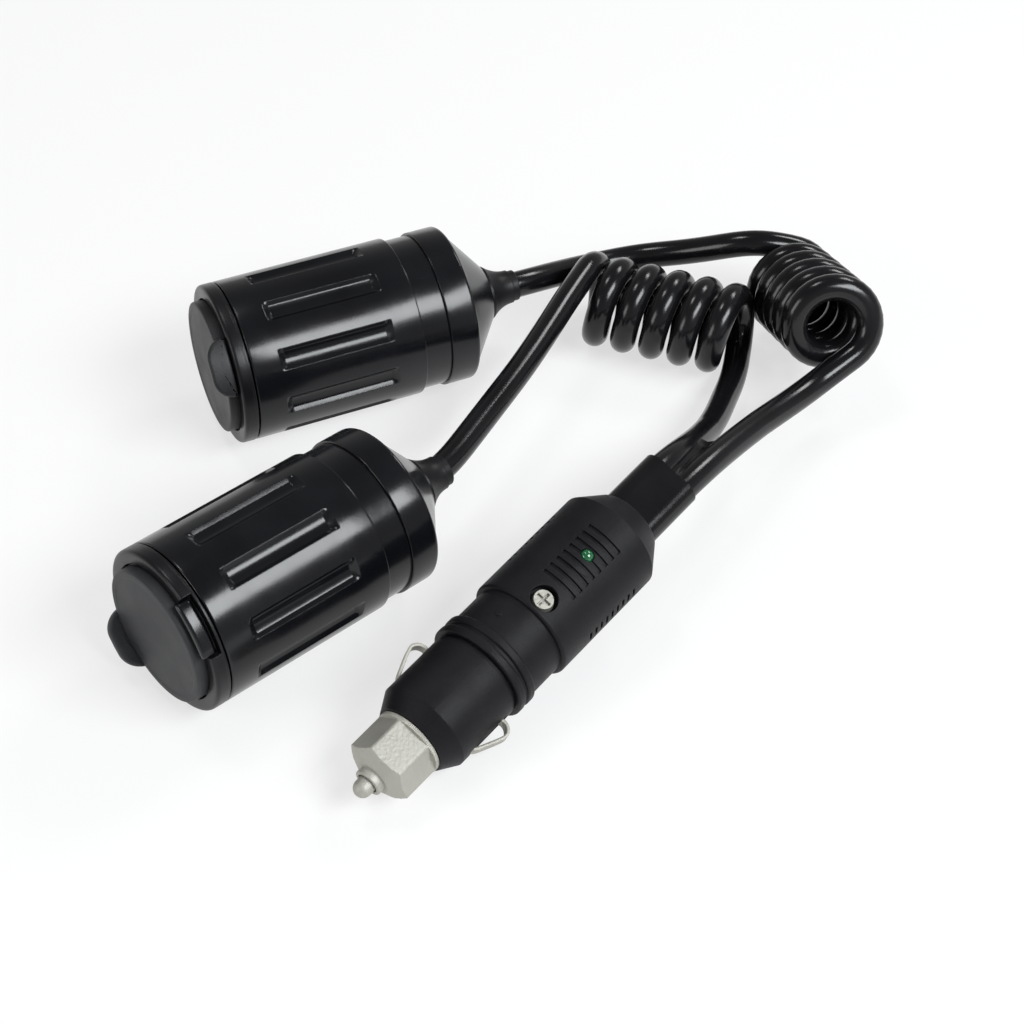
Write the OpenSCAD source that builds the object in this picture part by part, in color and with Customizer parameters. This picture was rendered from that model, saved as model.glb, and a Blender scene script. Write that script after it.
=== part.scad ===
// Two-way splitter for a 12 V vehicle power outlet: one plug, two capped sockets, two curly cords.
// Lengths are in mm, +Z is up, and the floor under the middle of the part is the origin.

/* [Placing] */
// Direction in plan of the front socket's axis, from its mouth to its cord
front_heading = 40.785; // [40:0.1:41.5]
// Direction in plan of the rear socket's axis
rear_heading = 23.276; // [22.6:0.1:24]
// Direction in plan of the plug's axis, from its tip to its cords
plug_heading = 49.37; // [49:0.1:49.7]
// Rise of the plug's axis towards its cords
plug_tilt = 8; // [7.8:0.1:8.2]
// Turn of the front grip about its axis
front_grip_roll = 31; // [0:1:35]
// Turn of the rear grip about its axis
rear_grip_roll = 21; // [0:1:35]
// Turn of the front cap, to where its pull tab points
front_cap_roll = 229; // [200:1:250]
// Turn of the rear cap
rear_cap_roll = 53; // [40:1:70]
// Turn of the plug, to where its lamp points
plug_roll = 24; // [20:1:28]

/* [Socket grip] */
// Length of the grip's ribbed part
grip_l = 40.25; // [40:0.05:40.5]
// Depth of the step down to the smooth band behind the ribs
band_step = 0.85; // [0.6:0.05:1.1]
// Length of the smooth band
band_l = 6.15; // [6:0.05:6.3]
// Thickness of the grip's wall
grip_wall = 2.6; // [2.5:0.05:2.8]
// Gap between the grip and the socket's housing
housing_gap = 2.6; // [2.5:0.05:2.7]
// Thickness of the grip's front wall
front_wall = 3; // [2.5:0.1:3.5]
// Thickness of the spigot that carries the cap's ring
spigot_wall = 3.3; // [3.2:0.05:3.4]
// Length of the spigot
spigot_l = 3.1; // [3.05:0.05:3.2]
// Width of the small bevels on the hard plastic edges
edge = 0.4; // [0.2:0.05:0.5]
// Number of grip pockets
pocket_count = 10; // [8:1:10]
// Distance of the pockets from the back of the ribbed part
pocket_back = 6.85; // [5.5:0.05:8.5]
// Start of the pockets behind the grip's front
pocket_start = 6.4; // [5:0.1:8]
// Width of a grip pocket
pocket_w = 5; // [4:0.1:6]
// Depth of a grip pocket
pocket_depth = 1.3; // [0.8:0.1:1.5]

/* [Socket end cover] */
// Depth of the step from the grip's surface to the end cover's ring
cover_step = 0.3; // [0.1:0.05:0.5]
// Length of the end cover's ring
cover_l = 7.1; // [6.9:0.1:7.3]
// Rounding at the back of that ring
cover_corner_r = 1.4; // [1:0.1:1.8]
// Length of the end cover's cone
cone_l = 8; // [7.8:0.1:8.2]
// Width of the rim at the end of the cone
cone_rim_w = 1.8; // [1.6:0.1:2]
// Thickness of the end cover's wall
cover_wall = 2.6; // [2.4:0.1:2.8]
// Length of the end cover's spigot inside the grip
cover_spigot_l = 3.4; // [3:0.1:3.6]
// Width of the shoulder that holds the housing
shoulder_w = 1; // [0.8:0.1:1.3]
// Thickness of that shoulder
shoulder_t = 1.2; // [1:0.1:1.5]
// Length of the cord hole
cord_hole_l = 4; // [3.8:0.1:4.2]
// Gap round the boot's inner flange
boot_flange_gap = 0.6; // [0.4:0.1:0.9]

/* [Cord boot] */
// Thickness of the boot's neck in the cord hole
boot_neck_wall = 1.85; // [1.7:0.05:2]
// Width of the boot's inner flange
boot_flange_w = 2; // [1.7:0.1:2.2]
// Thickness of the boot's inner flange
boot_flange_t = 1.4; // [1:0.1:1.6]
// How far the boot stands over the edge of the cord hole
boot_rim_w = 1.3; // [1.1:0.1:1.5]
// Thickness of the boot's narrow end
boot_tip_wall = 0.75; // [0.7:0.05:0.9]
// Straight length before the boot tapers
boot_rim_l = 0.7; // [0.5:0.1:1]
// Length of the boot's taper
boot_taper_l = 5.8; // [5.6:0.1:6]
// Thickness of the collar at the boot's end
boot_collar_wall = 0.45; // [0.4:0.05:0.6]
// Length of the collar
boot_collar_l = 1.6; // [1.4:0.1:1.8]
// Clearance between a cord and the hole that it runs in
cord_gap = 0.05; // [0.03:0.01:0.1]

/* [Socket contacts] */
// Thickness of the insulating housing's wall
housing_wall = 1.9; // [1.8:0.05:2]
// How far the housing stands out of the grip's front
housing_out = 1.6; // [1.4:0.1:1.8]
// How far the housing stands behind the grip's back
housing_behind = 0.8; // [0.7:0.05:1]
// Thickness of the housing's floor
housing_floor = 2.6; // [2.4:0.1:2.8]
// Radius of the boss on that floor
boss_r = 5.8; // [5.4:0.1:5.9]
// Height of that boss
boss_h = 1; // [0.9:0.05:1.2]
// Thickness of the contact tube's wall
tube_wall = 0.7; // [0.65:0.01:0.75]
// Bore of the contact tube, which takes a 21 mm plug
tube_bore_r = 10.7; // [10.65:0.01:10.75]
// Depth of the tube's wider mouth
mouth_depth = 0.35; // [0.3:0.01:0.4]
// Length of the wider mouth
mouth_l = 6.4; // [6:0.1:6.8]
// Length of the slope behind the mouth
mouth_slope_l = 0.3; // [0.2:0.05:0.4]
// Length of the relief behind the part of the bore that guides the plug
relief_l = 4.4; // [4:0.1:5.5]
// Depth of that relief
relief_depth = 0.25; // [0.2:0.01:0.3]
// Width of the contact tube's front flange
tube_flange_w = 1.2; // [0.8:0.1:1.5]
// Thickness of that flange
tube_flange_t = 0.6; // [0.5:0.05:0.7]
// Gap between the boss and the lip at the back of the contact tube
lip_gap = 0.2; // [0.1:0.05:0.4]
// Thickness of that lip
tube_lip_t = 0.7; // [0.5:0.05:0.8]
// Radius of the centre contact's head
rivet_head_r = 4; // [3.6:0.1:4.4]
// Height of that head
rivet_head_h = 1; // [0.8:0.1:1.2]
// Radius of the centre contact's stem
rivet_r = 2; // [1.8:0.1:2.2]
// Radius of the centre terminal's washer
washer_r = 3.4; // [3.2:0.1:4]
// Thickness of the terminals
terminal_t = 0.6; // [0.5:0.05:0.7]
// Width of the tube terminal's strip
strip_w = 3; // [2.6:0.1:3.4]
// Distance of that strip from the inner edge of the tube's lip
strip_in = 2.15; // [1.9:0.05:2.4]
// How far the strip stands behind the housing
strip_out = 2.3; // [2:0.1:2.6]
// Radius of the wires inside the sockets and the plug
wire_r = 0.8; // [0.6:0.05:0.8]
// Distance of a socket wire from the axis
wire_off = 1.4; // [1.35:0.05:1.45]

/* [Socket cap] */
// Gap between the ring and the grip
ring_gap = 0.35; // [0.3:0.05:0.45]
// How far the ring stands out past the spigot
ring_over = 0.5; // [0.4:0.05:0.6]
// Rounding of the ring's front edge
ring_corner_r = 1.2; // [0.8:0.1:1.4]
// Depth of the ring's notch for the strap
notch_depth = 1.9; // [1.85:0.05:2]
// Half the notch's width
notch_half_w = 6.4; // [6.3:0.05:6.6]
// Half the strap's width
strap_half_w = 6; // [5.6:0.1:6]
// Distance of the strap's hinge line inside the grip's surface
hinge_depth = 0.9; // [0.8:0.05:0.9]
// Distance of the hinge line behind the spigot's front
hinge_behind = 0.4; // [0.35:0.05:0.4]
// Radius of the strap's hinge bead
bead_r = 0.7; // [0.6:0.05:0.7]
// How far the strap's outer face lies inside the hinge line
strap_in = 0.3; // [0.3:0.05:0.4]
// Thickness of the strap
strap_t = 1.8; // [1.6:0.1:1.9]
// Gap between the cap's disc and the ring
disc_gap = 1.4; // [1.2:0.1:1.5]
// Thickness of the cap's disc
disc_t = 2.8; // [2.6:0.1:2.9]
// Width of the bevel round the disc's front
disc_edge = 0.5; // [0.3:0.1:0.7]
// Gap between the stopper and the bore
stopper_gap = 0.5; // [0.4:0.1:0.7]
// Taper of the stopper's end
stopper_taper = 1; // [0.8:0.1:1.2]
// Length of the stopper
stopper_l = 6.1; // [5:0.1:6.2]
// Distance of the pull tab inside the grip's surface
tab_depth = 1.4; // [1.3:0.1:1.5]
// How far the pull tab runs into the disc's edge
tab_root = 0.3; // [0.2:0.05:0.4]
// Width of the pull tab
tab_w = 13.5; // [12:0.5:14]
// How far the pull tab stands out in front of the grip
tab_out = 8.8; // [8.7:0.1:9.6]
// Gap between the pull tab and the ring
tab_gap = 0.3; // [0.25:0.05:0.4]
// Corner radius of the pull tab
tab_corner_r = 4.6; // [3:0.1:4.7]

/* [Plug tip] */
// Radius of the contact pin's ball end
ball_r = 2; // [1.9:0.05:2]
// How far the ball stands out in front of the plug's datum
ball_out = 3; // [2.8:0.1:3.2]
// Gap between the fuse tube and the pin's flange
pin_flange_gap = 0.2; // [0.15:0.05:0.3]
// Start of the pin's flange
pin_flange_start = 3.9; // [3.85:0.05:4]
// Thickness of the pin's flange
pin_flange_t = 1.3; // [1.2:0.05:1.4]
// Travel of the contact pin
pin_travel = 3; // [2:0.1:3]
// Radius of the hole in the nut's front
nut_hole_r = 2.3; // [2.25:0.05:2.4]
// Radius of the nut's boss
nut_boss_r = 3.1; // [3:0.05:3.3]
// Position of the boss's front
nut_boss_start = 0.2; // [0:0.1:0.4]
// Position of the nut's front face
nut_start = 1.8; // [1.7:0.05:1.9]
// Radius of the nut's front face
nut_face_r = 3.8; // [3.6:0.1:4.2]
// Length of the nut's front cone
nut_cone_l = 1.8; // [1.6:0.1:2]
// Width across the nut's flats
nut_flats = 13.4; // [13.2:0.1:13.6]
// Radius that the nut's corners are turned to
nut_corner_r = 7.6; // [7.5:0.05:7.65]
// Radius of the nut's knurled rim
nut_rim_r = 7.75; // [7.7:0.05:7.8]
// Length of the knurled rim
nut_rim_l = 0.9; // [0.7:0.1:1]
// Position of the nut's back
nut_back = 12.9; // [12.85:0.01:12.92]
// Thickness of the nut's front wall
nut_wall = 2; // [1.9:0.05:2]
// Running clearance of the nut on its spigot
nut_gap = 0.05; // [0.04:0.01:0.08]

/* [Plug sleeve] */
// Depth of the bevel at the sleeve's front
sleeve_bevel_h = 2.28; // [2.2:0.02:2.4]
// Position of the sleeve's front
sleeve_start = 13; // [12.98:0.01:13.05]
// Length of the sleeve's bevel
sleeve_bevel_l = 4; // [3.8:0.1:4.2]
// Position of the sleeve's back
sleeve_back = 32.2; // [32.1:0.05:32.3]
// Length of the step behind the sleeve
step_l = 0.8; // [0.7:0.05:0.9]
// Depth of that step
step_h = 0.38; // [0.3:0.02:0.46]
// Thickness of the sleeve's front wall
sleeve_wall = 2.5; // [2.3:0.1:2.6]
// Thickness of the sleeve's shell
sleeve_shell = 1.78; // [1.72:0.02:1.9]
// Thickness of the fuse tube's wall and of the nut's spigot
fuse_tube_wall = 2.2; // [2.16:0.01:2.22]
// Start of the nut's spigot
spigot_start = 6; // [5.9:0.1:6.2]
// End of the fuse tube's thick part
fuse_tube_mid = 30; // [29.5:0.1:30.2]
// Thickness of the wall of the fuse tube's thin part
fuse_thin_wall = 1.2; // [1:0.05:1.3]
// End of the fuse tube
fuse_tube_back = 46.5; // [46.4:0.05:46.6]
// Gap round the fuse
fuse_gap = 0.25; // [0.2:0.05:0.3]
// Width of the slots for the side contacts
slot_w = 3.4; // [3.3:0.05:3.5]
// Start of the slots for the side contacts
slot_start = 19.2; // [19:0.1:19.3]
// End of those slots
slot_end = 30.2; // [30:0.1:30.6]

/* [Plug electrics] */
// Radius of the fuse
fuse_r = 3.15; // [3.1:0.01:3.2]
// Length of the fuse
fuse_l = 30; // [29.8:0.1:30.1]
// Length of a fuse cap
fuse_cap_l = 6; // [5:0.5:7]
// Depth of the step between a fuse's caps and its glass
fuse_step = 0.15; // [0.1:0.05:0.2]
// Radius of the spring's wire
spring_wire_r = 0.35; // [0.3:0.01:0.35]
// Gap between the fuse tube and the spring
spring_gap = 0.55; // [0.55:0.05:0.7]
// Number of the spring's curls
spring_turns = 5; // [4:1:5]
// Position of the rear terminal's front
rear_terminal_start = 43.5; // [43.45:0.05:43.6]
// Thickness of the rear terminal's flange
rear_flange_t = 0.5; // [0.4:0.05:0.6]
// Gap between the side contacts' ring and the sleeve's shell
contact_ring_gap = 0.1; // [0.1:0.02:0.2]
// Thickness of that ring
contact_ring_t = 0.95; // [0.9:0.01:0.96]
// Width of that ring
contact_ring_w = 3; // [2.98:0.01:3.02]
// Width of a side contact
side_w = 2.8; // [2.6:0.05:2.9]
// Thickness of a side contact
side_t = 0.5; // [0.4:0.05:0.5]
// Distance of a side contact's hinge line inside that ring's edge
side_hinge_in = 0.6; // [0.6:0.01:0.66]
// Position of that hinge line along the plug
side_hinge_s = 17; // [16.98:0.01:17.02]
// Radius of the side contact's rolled end
side_eye_r = 0.5; // [0.45:0.01:0.5]
// Width of the ground strap
ground_w = 1.5; // [1.4:0.05:1.5]
// Thickness of the ground strap
ground_t = 0.4; // [0.3:0.05:0.4]
// Gap between the fuse tube and the straps
strap_gap = 0.04; // [0.04:0.01:0.06]
// Angle of the straps round the plug
strap_turn = 37; // [36.8:0.1:37.2]
// End of the ground strap
ground_end = 60; // [59.5:0.1:61]
// End of the positive strap
positive_end = 58; // [57:0.1:58.4]
// Thickness of the positive strap
positive_t = 0.5; // [0.4:0.05:0.5]
// Thickness of the circuit board
board_t = 1.2; // [1:0.1:1.6]
// Height of the circuit board above the axis
board_up = 2.4; // [2.4:0.02:2.44]
// Space beside the circuit board
board_side = 2.5; // [2.4:0.1:3]
// Start of the circuit board
board_start = 54.5; // [54:0.1:55]
// Gap between the circuit board and the cord sleeve
board_gap = 1; // [1:0.5:3]
// Radius of the lamp's lens
lens_r = 1.5; // [1.4:0.05:1.6]
// Position of the lamp along the plug
lens_s = 63.8; // [63:0.1:64.5]
// How far the lens stands out of the body
lens_out = 0.4; // [0.2:0.1:0.6]

/* [Plug body] */
// How far the ridges stand out over the sleeve
ridge_over = 1.07; // [0.95:0.02:1.11]
// Depth of the valley between the ridges
valley_depth = 0.55; // [0.4:0.05:0.6]
// Length of one ridge
ridge_l = 2; // [1.9:0.05:2.1]
// Length of the valley
valley_l = 0.8; // [0.7:0.05:0.9]
// Rounding of the ridges
ridge_corner_r = 0.5; // [0.3:0.1:0.5]
// How far the neck stands out over the sleeve
neck_over = 0.42; // [0.36:0.02:0.5]
// Length of the neck
neck_l = 8.5; // [8.4:0.1:8.6]
// Radius of the body
body_r = 11.92; // [11.8:0.02:12]
// Length of the body's straight part
body_l = 28.9; // [28.5:0.1:29.2]
// Rounding of the body's front shoulder
body_corner_r = 0.7; // [0.5:0.1:0.8]
// Length of the body's rear bevel
body_bevel_l = 5.8; // [5.6:0.1:6]
// Depth of the rear bevel
body_bevel_h = 3.92; // [3.7:0.02:4]
// Space in the neck round the fuse tube
neck_space = 1.4; // [1.38:0.02:1.5]
// Thickness of the body's wall
body_wall = 2.42; // [2.32:0.02:2.5]
// Thickness of the shoulder behind the neck
neck_wall = 1.2; // [1:0.1:1.4]
// Thickness of the body's rear wall
rear_wall = 7; // [6.6:0.1:7.1]
// Position of the screw along the plug
screw_s = 50; // [50:0.05:50.2]
// Radius of the screw's recess
recess_r = 3; // [2.9:0.05:3.1]
// Depth of the recess
recess_depth = 2.32; // [2.2:0.02:2.4]
// Radius of the screw's head
head_r = 2.5; // [2.4:0.05:2.6]
// Height of the screw's head
head_h = 1.7; // [1.5:0.1:1.9]
// Depth of the cross in the screw's head
cross_depth = 0.8; // [0.6:0.1:1]
// Width of the cross's slots
cross_w = 0.6; // [0.5:0.05:0.7]
// Radius of the screw's shank
shank_r = 1.2; // [1.1:0.05:1.3]
// How far the screw reaches below the axis
shank_down = 7; // [6:0.1:7.5]
// Radius of the screw's posts
post_r = 3; // [2.8:0.05:3.1]
// Radius of the pip on the neck
pip_r = 0.6; // [0.5:0.05:0.7]
// Height of the pip
pip_h = 0.3; // [0.2:0.05:0.4]
// Position of the pip along the plug
pip_s = 41.6; // [41:0.1:42]
// Angle of the pip from the lamp
pip_turn = -24; // [-28:1:-20]
// Number of grooves across the top of the body
groove_count = 8; // [6:1:8]
// Position of the first of them
groove_start = 54.9; // [54.6:0.1:55]
// Distance between them
groove_pitch = 2.05; // [2:0.01:2.1]
// Width of one
groove_w = 0.9; // [0.7:0.05:1]
// Depth of one
groove_depth = 0.5; // [0.4:0.05:0.6]
// Half the angle that they cover
groove_half_turn = 21; // [18:1:24]
// Number of notches along each side of the body
side_notch_count = 9; // [7:1:9]
// Position of the first notch
side_notch_start = 55; // [54.5:0.1:55.5]
// Distance between the notches
side_notch_pitch = 1.75; // [1.7:0.01:1.8]
// Width of a notch
side_notch_w = 0.7; // [0.5:0.05:0.8]
// Depth of a notch
side_notch_depth = 0.7; // [0.5:0.05:0.8]
// Height of a notch
side_notch_h = 2.6; // [2:0.1:3]
// Angle of the notches from the lamp
side_notch_turn = 75; // [72:1:76]

/* [Cord sleeve] */
// Thickness of the flat cord sleeve above and below the cords
cord_wall = 0.35; // [0.3:0.05:0.4]
// Thickness of that sleeve beside the cords
cord_side_wall = 0.55; // [0.45:0.05:0.6]
// Gap between the two cords in the sleeve
cord_apart = 0.3; // [0.25:0.05:0.3]
// End of the cord sleeve
cord_sleeve_end = 96.6; // [96.4:0.1:96.8]
// Thickness of the sleeve's inner flange
cord_flange_t = 1.5; // [1.3:0.1:1.6]
// How far that flange stands out round the sleeve
cord_flange_out = 1; // [0.8:0.1:1.2]

/* [Cords] */
// Radius of the cords
cord_r = 3.1; // [3.08:0.01:3.12]
// Sides of a straight cord
cord_sides = 12; // [8:2:12]
// Sides of a curly cord
coil_sides = 6; // [6:1:8]
// Points along one curl
curl_steps = 8; // [8:1:10]

/* [Hidden] */
$fn = 64;
over = 0.5;
round_steps = 6;
spring_sides = 6;
spring_steps = 8;
cord_bore_r = cord_r + cord_gap;
cord_off = cord_r + cord_apart / 2;
cord_sleeve_h = 2 * (cord_bore_r + cord_wall);
cord_sleeve_off = cord_off + cord_side_wall - cord_wall;
tube_r = tube_bore_r + tube_wall;
mouth_r = tube_bore_r + mouth_depth;
relief_r = tube_bore_r + relief_depth;
tube_flange_r = tube_r + tube_flange_w;
tube_lip_r = boss_r + lip_gap;
strip_r = tube_lip_r + strip_in;
housing_r = tube_r + housing_wall;
grip_bore_r = housing_r + housing_gap;
socket_r = grip_bore_r + grip_wall;
band_r = socket_r - band_step;
spigot_r = housing_r + spigot_wall;
cover_r = socket_r - cover_step;
cover_bore_r = cover_r - cover_wall;
shoulder_r = housing_r - shoulder_w;
boot_neck_r = cord_bore_r + boot_neck_wall;
boot_flange_r = boot_neck_r + boot_flange_w;
boot_r = boot_neck_r + boot_rim_w;
boot_tip_r = cord_bore_r + boot_tip_wall;
boot_collar_r = cord_bore_r + boot_collar_wall;
cone_end_r = boot_neck_r + cone_rim_w;
cord_floor_r = boot_flange_r + boot_flange_gap;
disc_r = spigot_r - disc_gap;
stopper_r = tube_bore_r - stopper_gap;
stopper_end_r = stopper_r - stopper_taper;
tab_r = socket_r - tab_depth;
tab_in_r = disc_r - tab_root;
hinge_r = socket_r - hinge_depth;
hinge_out = spigot_l - hinge_behind;
ring_out = spigot_l + ring_over;
front_at = [-45.17, -41.59, socket_r];
rear_at = [-40.95, 39.93, socket_r];
plug_plan = [-6.12, -74.68];
pocket_l = grip_l - pocket_start - pocket_back;
band_back = grip_l + band_l;
housing_back = band_back + housing_behind;
cover_back = band_back + cover_l;
cone_back = cover_back + cone_l;
cord_floor = cone_back - cord_hole_l;
boot_tip = cone_back + boot_rim_l + boot_taper_l;
boot_end = boot_tip + boot_collar_l;
lead_start = cord_floor + over;
floor_front = housing_back - housing_floor;
boss_front = floor_front - boss_h;
tube_front = housing_out + tube_flange_t;
gauge_end = floor_front - tube_lip_t - relief_l;
terminal_back = housing_back + terminal_t;
strip_back = housing_back + strip_out;
disc_out = spigot_l + disc_t;
hinge_in = -hinge_out;
fuse_bore_r = fuse_r + fuse_gap;
fuse_tube_r = fuse_bore_r + fuse_tube_wall;
fuse_tube_thin_r = fuse_bore_r + fuse_thin_wall;
pin_flange_r = fuse_bore_r - pin_flange_gap;
spring_r = fuse_bore_r - spring_gap - spring_wire_r;
contact_ring_r = fuse_tube_r + contact_ring_w;
side_hinge_r = contact_ring_r - side_hinge_in;
sleeve_bore_r = contact_ring_r + contact_ring_gap;
sleeve_r = sleeve_bore_r + sleeve_shell;
sleeve_front_r = sleeve_r - sleeve_bevel_h;
step_r = sleeve_r - step_h;
ridge_r = sleeve_r + ridge_over;
valley_r = ridge_r - valley_depth;
neck_r = sleeve_r + neck_over;
neck_bore_r = fuse_tube_r + neck_space;
ground_down = (fuse_tube_r + strap_gap) * cos(strap_turn);
strap_side = (fuse_tube_r + strap_gap) * sin(strap_turn);
body_end_r = body_r - body_bevel_h;
body_bore_r = body_r - body_wall;
recess_up = body_r - recess_depth;
board_w = 2 * (body_bore_r - board_side);
pin_flange_end = pin_flange_start + pin_flange_t;
fuse_end = pin_flange_end + fuse_l;
spring_pitch = (rear_terminal_start - fuse_end - 2 * spring_wire_r) / spring_turns;
contact_ring_start = sleeve_start + sleeve_wall;
contact_ring_end = contact_ring_start + contact_ring_t;
ring_start = sleeve_back + step_l;
ring_end = ring_start + 2 * ridge_l + valley_l;
neck_end = ring_end + neck_l;
body_end = neck_end + body_l;
plug_end = body_end + body_bevel_l;
cavity_start = neck_end + neck_wall;
cavity_end = plug_end - rear_wall;
board_l = cavity_end - cord_flange_t - board_gap - board_start;
wire_end = cavity_end + neck_wall;
positive_start = fuse_tube_back + rear_flange_t;
plug_rise = sleeve_r * cos(plug_tilt) - (sleeve_start + sleeve_bevel_l) * sin(plug_tilt);
plug_at = [plug_plan[0], plug_plan[1], plug_rise];
side_bend_shares = [
    [0, 0], [0.25, 0.03], [0.32, 0.23], [0.88, 0.47], [1.01, 0.48], [1.11, 0.41], [1.15, 0.28], [1.12, 0.14]
];
side_bends = [for (v = side_bend_shares) [-side_hinge_s, side_hinge_r] + sleeve_r * [-v[0], v[1]]];

coil_a_start = [39.82, 70.32, 12.62];
coil_a_yaw = -17.6;
coil_a_tilt = -2;
coil_a_r = 8.06;
coil_a_pitch = 6.93;
coil_a_from = 0;
coil_a_turns = 5.5;
coil_a_to = coil_a_from + 360 * coil_a_turns;
coil_b_start = [88.85, 78.6, 10.25];
coil_b_yaw = -77.2;
coil_b_tilt = 21.5;
coil_b_r = 8.58;
coil_b_pitch = 6.57;
coil_b_from = 20;
coil_b_turns = 5.37;
coil_b_to = coil_b_from + 360 * coil_b_turns;
lead_a_points = [[9.5, 8], [13.1, 14.8], [18.5, 25], [24.1, 35.6], [28.7, 45.3], [33.4, 55.9]];
lead_a_heights = [18.5, 18.7, 19.1, 19.5, 19.9, 20.4];
lead_b_points = [[28.2, 71.2], [33.8, 77], [43.7, 85], [53.6, 87.9], [65.1, 85.8], [72.5, 83.4], [77.7, 81.6]];
lead_b_heights = [17.2, 14.5, 10.9, 11.1, 14, 17.4, 19.9];
tail_a_points = [[72.3, 45.2], [69.9, 35.9], [66.4, 25.3], [62, 14.6], [58.7, 7]];
tail_a_heights = [4.2, 6.7, 10.5, 15.2, 21.4];
tail_b_points = [[88.8, 35.3], [82.9, 28.8], [78, 22.8], [73.3, 16.9], [68.2, 9.5], [63.5, 2.9]];
tail_b_heights = [12.8, 13.8, 15.2, 16.7, 18.4, 19.8];

function unit(v) = v / norm(v);

function aim(heading, tilt) = [cos(heading) * cos(tilt), sin(heading) * cos(tilt), sin(tilt)];

function upright(a) = unit([0, 0, 1] - a[2] * a);

function aside(a) = cross(upright(a), -a);

function in_place(at, a, roll, x, y, s) =
    at + a * s + (cos(roll) * x - sin(roll) * y) * upright(a) + (sin(roll) * x + cos(roll) * y) * aside(a);

function arc(c, r, from, to) = [
    for (k = [0 : round_steps]) let (q = from + (to - from) * k / round_steps) c + r * [cos(q), sin(q)]
];

function lifted(plan, heights) = [for (i = [0 : len(plan) - 1]) [plan[i][0], plan[i][1], heights[i]]];

function between(p, i, t) = let (
    a = p[max(i - 1, 0)],
    b = p[i],
    c = p[i + 1],
    d = p[min(i + 2, len(p) - 1)]
) (2 * b + (c - a) * t + (2 * a - 5 * b + 4 * c - d) * pow(t, 2) + (3 * b - a - 3 * c + d) * pow(t, 3)) / 2;

function smooth(p, parts) = concat(
    [for (i = [0 : len(p) - 2]) for (k = [0 : parts - 1]) between(p, i, k / parts)],
    [p[len(p) - 1]]
);

function curl(start, yaw, tilt, r, pitch, q) = let (a = aim(yaw, tilt), v = upright(a), w = cross(v, a))
    start + a * pitch * q / 360 + r * (cos(q) * v + sin(q) * w);

function curl_way(yaw, tilt, r, pitch, q) = let (a = aim(yaw, tilt), v = upright(a), w = cross(v, a))
    unit(a * pitch / (2 * PI) + r * (cos(q) * w - sin(q) * v));

function coil_path(start, yaw, tilt, r, pitch, from, turns) = let (
    steps = round(turns * curl_steps),
    to = from + 360 * turns,
    first = curl(start, yaw, tilt, r, pitch, from),
    last = curl(start, yaw, tilt, r, pitch, to)
) concat(
    [first - 2 * cord_r * curl_way(yaw, tilt, r, pitch, from)],
    [for (i = [0 : steps]) curl(start, yaw, tilt, r, pitch, from + 360 * turns * i / steps)],
    [last + 2 * cord_r * curl_way(yaw, tilt, r, pitch, to)]
);

function ways(p) = [for (i = [0 : len(p) - 1]) unit(p[min(i + 1, len(p) - 1)] - p[max(i - 1, 0)])];

function level(n, t) = unit(n - (n * t) * t);

function sides_of(t) = [
    for (i = 0, n = level([0, 0, 1], t[0]); i < len(t); i = i + 1, n = i < len(t) ? level(n, t[i]) : n) n
];

function across(v) = [-v[1], v[0]];

function corner_side(p, i) = let (
    a = across(unit(p[max(i, 1)] - p[max(i - 1, 0)])),
    b = across(unit(p[min(i + 1, len(p) - 1)] - p[min(i, len(p) - 2)]))
) (a + b) / (1 + a * b);

function edge_of(p, w) = [for (i = [0 : len(p) - 1]) p[i] + w * corner_side(p, i)];

function reversed(p) = [for (i = [1 : len(p)]) p[len(p) - i]];

function least(list) = min([for (v = list) v]);

function self_gap(p, r, apart) = least([
    for (i = [0 : len(p) - 1 - apart]) for (j = [i + apart : len(p) - 1]) norm(p[i] - p[j])
]) - 2 * r;

module tube(p, r, sides) {
    t = ways(p);
    n = sides_of(t);
    points = [
        for (i = [0 : len(p) - 1]) for (k = [0 : sides - 1]) let (q = 360 * k / sides)
            p[i] + r * (cos(q) * n[i] + sin(q) * cross(t[i], n[i]))
    ];
    last = (len(p) - 1) * sides;
    walls = [
        for (i = [0 : len(p) - 2]) for (k = [0 : sides - 1]) let (a = i * sides, m = (k + 1) % sides)
            each [[a + k, a + sides + k, a + sides + m], [a + k, a + sides + m, a + m]]
    ];
    front = [for (k = [1 : sides - 2]) [0, k, k + 1]];
    back = [for (k = [1 : sides - 2]) [last, last + k + 1, last + k]];
    polyhedron(points, concat(front, walls, back));
}

module place(at, heading, tilt, roll) {
    translate(at)
        rotate([0, 90 - tilt, heading])
            rotate([0, 0, 180 + roll])
                children();
}

module at_front(roll) {
    place(front_at, front_heading, 0, roll)
        children();
}

module at_rear(roll) {
    place(rear_at, rear_heading, 0, roll)
        children();
}

module at_plug() {
    place(plug_at, plug_heading, plug_tilt, plug_roll)
        children();
}

module ring(outer, inner, from, to) {
    rotate_extrude()
        polygon([[inner, from], [outer, from], [outer, to], [inner, to]]);
}

module rod(r, from, to) {
    translate([0, 0, from])
        cylinder(r = r, h = to - from);
}

module bar(x, y, s) {
    translate([x[0], y[0], s[0]])
        cube([x[1] - x[0], y[1] - y[0], s[1] - s[0]]);
}

module socket_grip() {
    difference() {
        rotate_extrude()
            polygon([
                [housing_r, -spigot_l], [spigot_r, -spigot_l], [spigot_r, 0], [socket_r - edge, 0],
                [socket_r, edge], [socket_r, grip_l - edge], [socket_r - edge, grip_l], [band_r, grip_l],
                [band_r, band_back], [grip_bore_r, band_back], [grip_bore_r, front_wall],
                [housing_r, front_wall]
            ]);
        for (k = [0 : pocket_count - 1])
            rotate(360 * k / pocket_count)
                bar([socket_r - pocket_depth, socket_r + over], [-pocket_w / 2, pocket_w / 2],
                    [pocket_start, pocket_start + pocket_l]);
    }
}

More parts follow.
